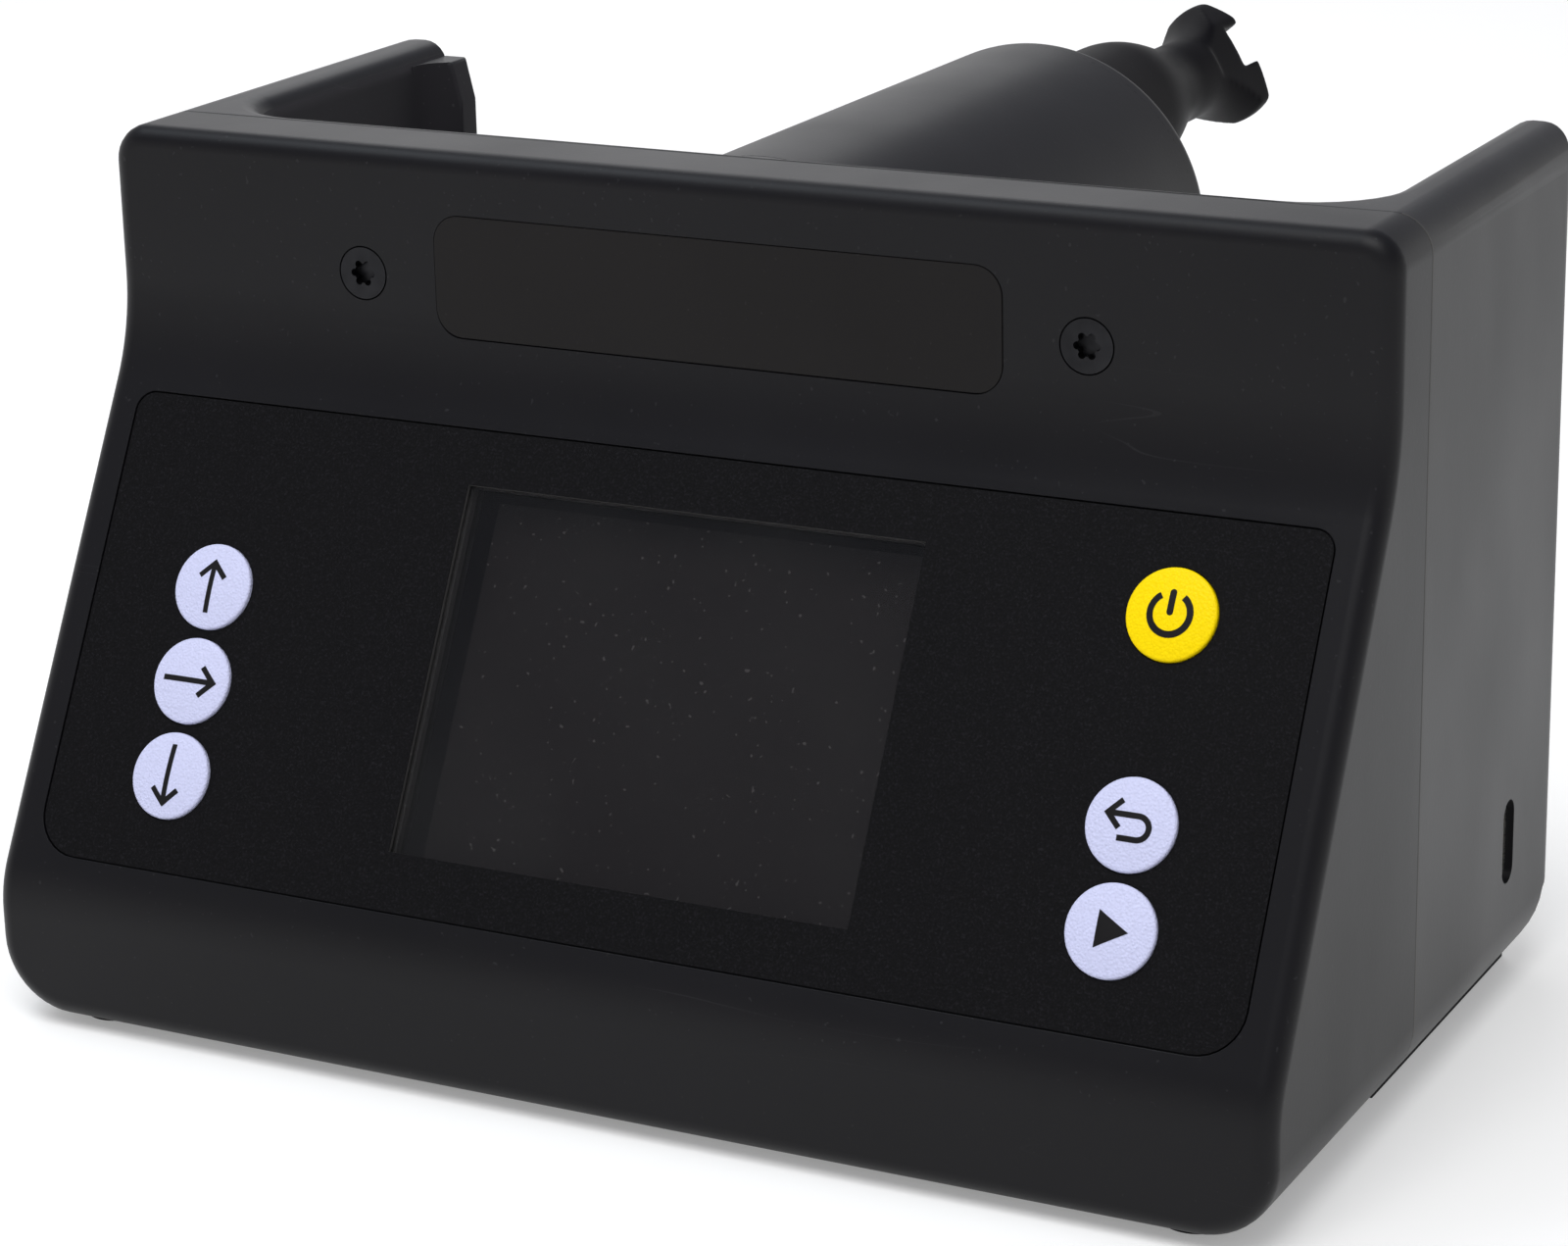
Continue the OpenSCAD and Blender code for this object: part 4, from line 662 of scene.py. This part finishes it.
def buildKey(name):
    k = keyCap
    half = (keys["rise"] - k["floor"]) / 2
    cap = addCylinder(name + "_cap", keySpot(name, half), keys["radius"], keys["rise"] + k["floor"],
                      panelTurn)
    makeActive(cap)
    bpy.ops.object.mode_set(mode="EDIT")
    pickFace(cap, lambda face: face.normal.dot(outOfPanel) > 0.9)
    ring = keys["radius"] / (k["rings"] + 0.5)
    for i in range(k["rings"]):
        outer = 1 - i * ring / keys["radius"]
        inner = 1 - (i + 1) * ring / keys["radius"]
        lift = keys["crown"] * (outer ** 2 - inner ** 2)
        bpy.ops.mesh.inset(thickness=ring * mm, depth=lift * mm)
    pickFace(cap, lambda face: face.normal.dot(outOfPanel) < -0.9)
    bpy.ops.mesh.inset(thickness=(keys["radius"] - k["stemR"]) * mm)
    pullOut(k["floor"] - k["hookTop"])
    bpy.ops.mesh.extrude_region_move()
    grow = k["hookR"] / k["stemR"]
    bpy.ops.transform.resize(value=(grow, grow, grow), center_override=spot(*keySpot(name, -k["hookTop"])))
    pullOut(k["hookTop"] - k["stemEnd"])
    bpy.ops.object.mode_set(mode="OBJECT")
    centre = Vector(keySpot(name, keys["rise"]))
    onRim = lambda p: (near((p - centre).length, keys["radius"], 0.03)
                       and abs((p - centre).dot(outOfPanel)) < 0.02)
    roundEdges(cap, lambda a, b, f: onRim(a) and onRim(b), k["rimR"], steps=4)
    tidyMesh(cap, angle=50)
    return cap


# printed signs, drawn with x to the right and y up the slope
signs = {"stroke": 0.58, "barb": 2.45, "ringR": 2.04, "ringStroke": 0.66, "ringGap": 34, "barTop": 2.4,
         "barLow": -0.2, "turnR": 1.15, "turnTip": 2.75, "turnX": 0.9, "turnTail": -1.0, "turnDrop": 0.3,
         "turnBarb": 0.9, "thick": 0.03, "from": 0.1, "to": 2}


def arrowHead(tip, barb, w):
    b, c, root = barb / math.sqrt(2), w / math.sqrt(2), w * math.sqrt(2) + w / 2
    right = [(w / 2, tip - root), (b - c, tip - b - c), (b, tip - b)]
    return right, [(-x, y) for x, y in reversed(right)]


def arrowOutline(angle, tip, tail):
    g = signs
    right, left = arrowHead(tip, g["barb"], g["stroke"])
    w = g["stroke"] / 2
    points = [(-w, tail), (w, tail)] + right + [(0, tip)] + left
    ca, sa = math.cos(math.radians(angle)), math.sin(math.radians(angle))
    return [(x * ca - y * sa, x * sa + y * ca) for x, y in points]


def powerOutlines():
    g = signs
    w = g["ringStroke"] / 2
    start, end = 90 + g["ringGap"], 450 - g["ringGap"]
    ring = arc((0, 0), g["ringR"] + w, start, end, 40) + arc((0, 0), g["ringR"] - w, end, start, 40)
    bar = arc((0, g["barTop"] - w), w, 0, 180, 8) + arc((0, g["barLow"] + w), w, 180, 360, 8)
    return [ring, bar]


def turnOutline():
    g = signs
    w, r, tail = g["stroke"] / 2, g["turnR"], g["turnTail"]
    high = r - g["turnDrop"]
    right, left = arrowHead(g["turnTip"], g["barb"] * g["turnBarb"], g["stroke"])
    headUp = [(-py, px + high) for px, py in right]
    headLow = [(-py, px + high) for px, py in left]
    middle = (g["turnX"], high - r)
    return ([(tail, high - 2 * r - w)] + arc(middle, r + w, -90, 90, 16) + headUp + [(-g["turnTip"], high)]
            + headLow + arc(middle, r - w, 90, -90, 16) + [(tail, high - 2 * r + w)])


signOutlines = {"up": [arrowOutline(0, tip=2.9, tail=-2.9)],
                "right": [arrowOutline(-90, tip=3.3, tail=-3.25)],
                "down": [arrowOutline(180, tip=3.4, tail=-3.3)],
                "power": powerOutlines(),
                "back": [turnOutline()],
                "start": [[(-1.25, -1.85), (2.0, 0), (-1.25, 1.85)]]}


def copyOf(obj):
    makeActive(obj)
    bpy.ops.object.duplicate()
    return bpy.context.object


# a sign is cut from the thin skin over its key's crown
def buildSign(name, cap):
    u, d = keyCentre(name)
    blocks = [panelSolid(name + "_sign", [(u + x, d - y) for x, y in outline], signs["from"], signs["to"])
              for outline in signOutlines[name]]
    sign = joinAll(blocks)
    sign.name = name + "_sign"
    skin = copyOf(cap)
    skin.location = outOfPanel * signs["thick"] * mm
    carve(sign, settle(skin), "INTERSECT")
    carve(sign, copyOf(cap))
    tidyMesh(sign, angle=40, merge=0.001)
    return sign


# finishes: every one reads Object coordinates, so grain keeps its real size on each piece
def startLook(name, rough, specular, metal=0.0):
    look = bpy.data.materials.new(name)
    look.use_nodes = True
    tree = look.node_tree
    shader = tree.nodes["Principled BSDF"]
    shader.inputs["Roughness"].default_value = rough
    shader.inputs["Specular IOR Level"].default_value = specular
    shader.inputs["Metallic"].default_value = metal
    coords = tree.nodes.new("ShaderNodeTexCoord")
    return look, tree, shader, coords.outputs["Object"]


def addNoise(tree, coords, scale, detail=2.0, stretch=None):
    if stretch:
        mapping = tree.nodes.new("ShaderNodeMapping")
        mapping.inputs["Scale"].default_value = stretch
        tree.links.new(coords, mapping.inputs["Vector"])
        coords = mapping.outputs["Vector"]
    noise = tree.nodes.new("ShaderNodeTexNoise")
    noise.inputs["Scale"].default_value = scale
    noise.inputs["Detail"].default_value = detail
    tree.links.new(coords, noise.inputs["Vector"])
    return noise.outputs["Fac"]


def ramp(tree, value, stops):
    node = tree.nodes.new("ShaderNodeValToRGB")
    line = node.color_ramp
    line.elements[0].position, line.elements[0].color = stops[0][0], (*stops[0][1], 1)
    line.elements[1].position, line.elements[1].color = stops[-1][0], (*stops[-1][1], 1)
    for place, colour in stops[1:-1]:
        line.elements.new(place).color = (*colour, 1)
    tree.links.new(value, node.inputs["Fac"])
    return node.outputs["Color"]


def remap(tree, value, low, high, fromLow=0.3, fromHigh=0.7):
    node = tree.nodes.new("ShaderNodeMapRange")
    node.inputs["From Min"].default_value = fromLow
    node.inputs["From Max"].default_value = fromHigh
    node.inputs["To Min"].default_value = low
    node.inputs["To Max"].default_value = high
    tree.links.new(value, node.inputs["Value"])
    return node.outputs["Result"]


def isSocket(value):
    return isinstance(value, bpy.types.NodeSocket)


def mixColour(tree, amount, first, second):
    node = tree.nodes.new("ShaderNodeMix")
    node.data_type = "RGBA"
    tree.links.new(amount, node.inputs["Factor"])
    for side, colour in (("A", first), ("B", second)):
        if isSocket(colour):
            tree.links.new(colour, node.inputs[side])
        else:
            node.inputs[side].default_value = (*colour, 1)
    return node.outputs["Result"]


def addMath(tree, operation, *values):
    node = tree.nodes.new("ShaderNodeMath")
    node.operation = operation
    for place, value in zip(node.inputs, values):
        if isSocket(value):
            tree.links.new(value, place)
        else:
            place.default_value = value
    return node.outputs[0]


def addBump(tree, shader, height, strength, distance):
    node = tree.nodes.new("ShaderNodeBump")
    node.inputs["Strength"].default_value = strength
    node.inputs["Distance"].default_value = distance * mm
    tree.links.new(height, node.inputs["Height"])
    tree.links.new(node.outputs["Normal"], shader.inputs["Normal"])


# a thin contour of a long stretched noise, kept only in a few patches
def hairlines(tree, coords, amount):
    streaks = addNoise(tree, coords, 26, 1, stretch=(0.5, 1.0, 7))
    contour = addMath(tree, "COMPARE", streaks, 0.5, 0.0022)
    patch = remap(tree, addNoise(tree, coords, 31, 1), 0, amount, 0.62, 0.72)
    return addMath(tree, "MULTIPLY", contour, patch)


# moulded plastic and film: soft clouds in the tint, handling blotches, fine grain, specks of dust, hairlines
def plasticLook(name, tint, rough=0.45, specular=0.3, cloud=0.15, grain=1500, grainDepth=0.02, dust=0.25,
                dustFrom=0.79, blotch=0.03, hairline=0.0, fade=None):
    look, tree, shader, coords = startLook(name, rough, specular)
    dark = [c * (1 - cloud) for c in tint]
    light = [c * (1 + cloud) for c in tint]
    pale = [min(1, c * 3 + 0.05) for c in tint]
    base = ramp(tree, addNoise(tree, coords, 22, 3), [(0.35, dark), (0.65, light)])
    if dust:
        speck = remap(tree, addNoise(tree, coords, 2300, 0), 0, dust, dustFrom, dustFrom + 0.06)
        base = mixColour(tree, speck, base, pale)
    if hairline:
        base = mixColour(tree, hairlines(tree, coords, hairline), base, pale)
    if fade:  # from one place along y to another the tint turns into a second one
        split = tree.nodes.new("ShaderNodeSeparateXYZ")
        tree.links.new(coords, split.inputs["Vector"])
        base = mixColour(tree, remap(tree, split.outputs["Y"], 0, 1, *fade["y"]), base, fade["tint"])
    tree.links.new(base, shader.inputs["Base Color"])
    handled = addNoise(tree, coords, 50, 6, stretch=(1, 1, 0.45))
    tree.links.new(remap(tree, handled, rough - blotch, rough + blotch), shader.inputs["Roughness"])
    addBump(tree, shader, addNoise(tree, coords, grain, 2), 0.5, grainDepth)
    return look


# pebbled cap: rounded bumps about a third of a millimetre across
def pebbleLook(name, tint, specular, depth):
    look, tree, shader, coords = startLook(name, 0.42, specular)
    cells = tree.nodes.new("ShaderNodeTexVoronoi")
    cells.feature = "SMOOTH_F1"
    cells.inputs["Scale"].default_value = 3500
    cells.inputs["Smoothness"].default_value = 0.6
    tree.links.new(coords, cells.inputs["Vector"])
    base = ramp(tree, cells.outputs["Distance"], [(0.15, tint), (0.7, [c * 0.94 for c in tint])])
    tree.links.new(base, shader.inputs["Base Color"])
    tree.links.new(remap(tree, addNoise(tree, coords, 300, 3), 0.38, 0.48), shader.inputs["Roughness"])
    hollow = remap(tree, cells.outputs["Distance"], 1, 0, 0.0, 0.8)
    addBump(tree, shader, hollow, 0.9, depth)
    return look


# textured film: the same fine grain lifts the tint and the surface
def filmLook(name, tint, rough, specular, grain, grainDepth):
    look, tree, shader, coords = startLook(name, rough, specular)
    fine = addNoise(tree, coords, grain, 1)
    stops = [(place, [c * lift for c in tint]) for place, lift in ((0.36, 0.6), (0.58, 1.1), (0.74, 3))]
    tree.links.new(ramp(tree, fine, stops), shader.inputs["Base Color"])
    handled = addNoise(tree, coords, 30, 4)
    tree.links.new(remap(tree, handled, rough - 0.03, rough + 0.03), shader.inputs["Roughness"])
    addBump(tree, shader, fine, 0.6, grainDepth)
    return look


def metalLook(name, tint, rough=0.3, cloud=0.12, brush=(1, 1, 30), grain=900):
    look, tree, shader, coords = startLook(name, rough, 0.5, metal=1.0)
    dark = [c * (1 - cloud) for c in tint]
    base = ramp(tree, addNoise(tree, coords, 60, 4), [(0.35, dark), (0.65, tint)])
    tree.links.new(base, shader.inputs["Base Color"])
    lines = addNoise(tree, coords, grain, 3, stretch=brush)
    tree.links.new(remap(tree, lines, rough * 0.7, rough * 1.4), shader.inputs["Roughness"])
    addBump(tree, shader, lines, 0.3, 0.01)
    return look


# thin tinted pane: see-through with smears that catch a little more light
def paneLook(name):
    look, tree, shader, coords = startLook(name, 0.06, 0.9)
    smear = addNoise(tree, coords, 70, 5, stretch=(1, 1.6, 0.8))
    base = ramp(tree, smear, [(0.3, (0.006, 0.006, 0.007)), (0.7, (0.014, 0.014, 0.014))])
    tree.links.new(base, shader.inputs["Base Color"])
    tree.links.new(remap(tree, smear, 0.03, 0.1), shader.inputs["Roughness"])
    tree.links.new(remap(tree, smear, 0.18, 0.22), shader.inputs["Alpha"])
    return look


# circuit board: wavy tracks under green lacquer
def boardLook(name):
    look, tree, shader, coords = startLook(name, 0.35, 0.5)
    wave = tree.nodes.new("ShaderNodeTexWave")
    wave.inputs["Scale"].default_value = 160
    wave.inputs["Distortion"].default_value = 2.5
    wave.inputs["Detail"].default_value = 1
    tree.links.new(coords, wave.inputs["Vector"])
    base = ramp(tree, wave.outputs["Fac"], [(0.45, (0.008, 0.07, 0.03)), (0.55, (0.015, 0.13, 0.055))])
    tree.links.new(base, shader.inputs["Base Color"])
    addBump(tree, shader, wave.outputs["Fac"], 0.4, 0.03)
    return look


satin = (0.0042, 0.004, 0.0052)
# painted light and shade: the spindle's tint goes from a lighter stem to a darker head, as light falls along
# it
headPaintedShade = {"y": [spot(0, spindle["start"] + y, 0).y for y in spindle["fade"]],
            "tint": (0.004, 0.0038, 0.005)}
plastics = {
    "satin_black": dict(tint=satin, rough=0.4, specular=0.2, cloud=0.1, grain=2200, grainDepth=0.012,
                        dust=0.2, hairline=0.1),
    "satin_rear": dict(tint=satin, rough=0.4, specular=0.31, cloud=0.12, grain=2000, grainDepth=0.012,
                       dust=0.2, blotch=0.04, hairline=0.1),
    # painted light: the cradle's tint is much lighter than the satin it is made of, standing in for light in
    # its shade
    "cradle_painted_light": dict(tint=(0.03, 0.029, 0.033), rough=0.5, specular=0.06, cloud=0.12, grain=2000,
                         grainDepth=0.012, dust=0.2, blotch=0.04, hairline=0.1),
    # painted highlight: a pale tint along the seam's rounded edge, standing in for the light it catches
    "seam_painted_highlight": dict(tint=(0.05, 0.048, 0.046), specular=0.4, cloud=0.5, dust=0),
    # painted light: the stem's tint is lighter than the head's, which is painted darker as shade
    "spindle_black": dict(tint=(0.019, 0.0185, 0.0195), rough=0.42, specular=0.02, cloud=0.12, grain=2000,
                          grainDepth=0.012, dust=0.15, hairline=0.08, fade=headPaintedShade),
    "base_black": dict(tint=(0.008, 0.008, 0.0088), rough=0.6, specular=0.25, cloud=0.2, grain=900,
                       grainDepth=0.04, dust=0.2),
    "foot_rubber": dict(tint=(0.007, 0.007, 0.0075), rough=0.8, specular=0.2, cloud=0.3, grain=600,
                        grainDepth=0.06, dust=0.3),
    "plate_film": dict(tint=(0.0072, 0.0062, 0.0062), rough=0.5, specular=0.17, cloud=0.1, grain=2400,
                       grainDepth=0.015, dust=0.2),
    # painted light: a pale tint for the lit wall of the display opening
    "window_wall_painted_light": dict(tint=(0.06, 0.058, 0.058), rough=0.6, specular=0.2),
    "display_glass": dict(tint=(0.003, 0.0028, 0.003), rough=0.4, specular=0.06, cloud=0.05, grain=3500,
                          grainDepth=0.01, dust=0),
    "display_face": dict(tint=(0.0185, 0.0158, 0.0156), rough=0.4, specular=0.06, cloud=0.06, grain=3500,
                         grainDepth=0.01, dust=0.9, dustFrom=0.766),
    "frame_plastic": dict(tint=(0.024, 0.023, 0.024), rough=0.6, specular=0.2),
    "print_ink": dict(tint=(0.004, 0.0035, 0.004), rough=0.5, specular=0.2, cloud=0.2, grain=2600,
                      grainDepth=0.01, dust=0),
    "chip_black": dict(tint=(0.015, 0.015, 0.016), rough=0.55, specular=0.4),
    "cell_wrap": dict(tint=(0.05, 0.16, 0.42), rough=0.25, specular=0.5, cloud=0.1, grain=300, dust=0.1),
    "seal_rubber": dict(tint=(0.006, 0.006, 0.0065), rough=0.7, specular=0.25),
}
metals = {
    "black_steel": dict(tint=(0.026, 0.026, 0.028), rough=0.42, cloud=0.3, brush=(1, 1, 1), grain=700),
    "bright_steel": dict(tint=(0.62, 0.62, 0.64)),
    "spring_steel": dict(tint=(0.66, 0.65, 0.62), rough=0.25),
    "cast_alloy": dict(tint=(0.6, 0.61, 0.63), rough=0.45, cloud=0.15, brush=(1, 1, 1), grain=500),
    "bush_bronze": dict(tint=(0.5, 0.34, 0.15), rough=0.5, cloud=0.25, brush=(1, 1, 1), grain=1200),
    "gear_brass": dict(tint=(0.72, 0.53, 0.22), cloud=0.15, brush=(1, 8, 1)),
    "magnet_grey": dict(tint=(0.09, 0.09, 0.1), rough=0.6, cloud=0.3, brush=(1, 1, 1), grain=1500),
    "rotor_steel": dict(tint=(0.4, 0.4, 0.42), rough=0.35, cloud=0.2, brush=(1, 40, 1), grain=400),
}
finishes = {name: plasticLook(name, **facts) for name, facts in plastics.items()}
finishes.update((name, metalLook(name, **facts)) for name, facts in metals.items())
finishes["overlay_film"] = filmLook("overlay_film", (0.0031, 0.0029, 0.0036), rough=0.6, specular=0.1,
                                    grain=4200, grainDepth=0.045)
finishes["key_white"] = pebbleLook("key_white", (0.63, 0.65, 0.89), specular=0.2, depth=0.08)
finishes["key_yellow"] = pebbleLook("key_yellow", (1.0, 0.73, 0.0), specular=0.1, depth=0.04)
finishes["clear_pane"] = paneLook("clear_pane")
finishes["board_green"] = boardLook("board_green")
print("finishes ready", len(finishes))


def paint(obj, finish):
    obj.data.materials.clear()
    obj.data.materials.append(finish)


for part in frame["record"]["subparts"]:
    paint(nodes[part["node"]], finishes[part["material_slot"]])


def dress(obj, body, slot, replaced=None, finish=None):
    if not obj.data.materials:
        paint(obj, finishes[finish or slot])
    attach(obj, body)
    if replaced:
        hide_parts(replaced)


dress(buildFrontCover(), "housing", "satin_black", "front_cover")
dress(buildRearHousing(), "housing", "satin_black", "rear_housing")
dress(buildSpindle(), "spindle", "spindle_black", "drive_spindle")
dress(buildOverlay(), "housing", "overlay_film", "keypad_overlay")
dress(buildPlate(), "housing", "plate_film", "name_plate")
dress(buildSheet(), "housing", "display_glass", finish="display_face")
print("shells, films and spindle done")
for key in keyPlaces:
    cap = buildKey(key)
    sign = buildSign(key, cap)
    dress(cap, key + "_key", "key_yellow" if key == "power" else "key_white", key + "_button")
    dress(sign, key + "_key", "overlay_film", finish="print_ink")
print("keys done")

# pale floor and soft light
studio = {"floor": 0.8, "floorSize": 8, "floorGlow": 0.27, "ambient": (0.5, 0.5, 0.51)}
# what shiny surfaces see: white at the horizon, a dimmer bluish room above
skyStops = [(0.0, (1.0, 1.0, 1.0)), (0.15, (0.8, 0.8, 0.81)), (0.3, (0.46, 0.46, 0.49)),
            (0.52, (0.3, 0.31, 0.36)), (0.75, (0.36, 0.38, 0.44)), (1.0, (0.36, 0.38, 0.44))]


# 1 for what the camera sees directly, in a reflection or through glass
def sawByEye(tree):
    path = tree.nodes.new("ShaderNodeLightPath")
    total = path.outputs["Is Camera Ray"]
    for ray in ("Is Glossy Ray", "Is Transmission Ray"):
        total = addMath(tree, "MAXIMUM", total, path.outputs[ray])
    return total


def buildFloor():
    deselectAll()
    bpy.ops.mesh.primitive_plane_add(size=studio["floorSize"], location=(0, 0, 0))
    floor = bpy.context.object
    floor.name = "studio_floor"
    look = bpy.data.materials.new("pale_floor")
    look.use_nodes = True
    tree = look.node_tree
    shader = tree.nodes["Principled BSDF"]
    shader.inputs["Base Color"].default_value = (studio["floor"],) * 3 + (1,)
    shader.inputs["Roughness"].default_value = 0.9
    shader.inputs["Specular IOR Level"].default_value = 0.0
    shader.inputs["Emission Color"].default_value = (1, 1, 1, 1)
    glow = addMath(tree, "MULTIPLY", sawByEye(tree), studio["floorGlow"])
    tree.links.new(glow, shader.inputs["Emission Strength"])
    floor.data.materials.append(look)


def buildWorld():
    world = bpy.data.worlds.new("studio")
    bpy.context.scene.world = world
    world.use_nodes = True
    tree = world.node_tree
    coords = tree.nodes.new("ShaderNodeTexCoord")
    split = tree.nodes.new("ShaderNodeSeparateXYZ")
    tree.links.new(coords.outputs["Generated"], split.inputs["Vector"])
    sky = ramp(tree, split.outputs["Z"], skyStops)
    path = tree.nodes.new("ShaderNodeLightPath")
    seen = mixColour(tree, path.outputs["Is Camera Ray"], sky, (1, 1, 1))
    level = mixColour(tree, sawByEye(tree), studio["ambient"], seen)
    tree.links.new(level, tree.nodes["Background"].inputs["Color"])


# places and aims in millimetres from the part's middle, sizes in metres, power in watts
white = (1, 1, 1)
lamps = {"key": dict(place=(95, -450, 895), aim=(0, -20, 50), size=0.6, power=5.0, tint=white),
         "upper": dict(place=(-400, -130, 830), aim=(0, -20, 50), size=0.45, power=1.6, tint=(0.86, 0.93, 1)),
         "back": dict(place=(-560, 760, 330), aim=(0, 40, 80), size=0.4, power=0.1, tint=white),
         "rear": dict(place=(-400, 640, 640), aim=(0, 40, 80), size=0.5, power=1.1, tint=white)}


def addLamp(name, facts):
    data = bpy.data.lights.new(name, "AREA")
    data.energy = facts["power"]
    data.size = facts["size"]
    data.color = facts["tint"]
    lamp = bpy.data.objects.new(name, data)
    bpy.context.scene.collection.objects.link(lamp)
    place, aim = Vector(facts["place"]) * mm, Vector(facts["aim"]) * mm
    lamp.location = place
    lamp.rotation_mode = "QUATERNION"
    lamp.rotation_quaternion = (aim - place).to_track_quat("-Z", "Y")


buildFloor()
buildWorld()
for name, facts in lamps.items():
    addLamp(name, facts)
bpy.context.scene.view_settings.view_transform = "Standard"
print("studio ready")

camera = {"place": (201.898, -381.901, 179.379), "lens": 99.44, "sensor": 36, "shift": (0.00024, 0.00123),
          "clip": (0.01, 20), "right": (0.88954957, 0.45633137, -0.02152335),
          "down": (0.12142641, -0.28159612, -0.95181892), "ahead": (-0.44040572, 0.84407660, -0.30590438)}
lens = bpy.data.cameras.new("camera")
lens.lens = camera["lens"]
lens.sensor_width = camera["sensor"]
lens.shift_x, lens.shift_y = camera["shift"]
lens.clip_start, lens.clip_end = camera["clip"]
eye = bpy.data.objects.new("camera", lens)
bpy.context.scene.collection.objects.link(eye)
turn = Matrix((camera["right"], -Vector(camera["down"]), -Vector(camera["ahead"]))).transposed()
eye.matrix_world = Matrix.Translation(spot(*camera["place"])) @ turn.to_4x4()
bpy.context.scene.camera = eye
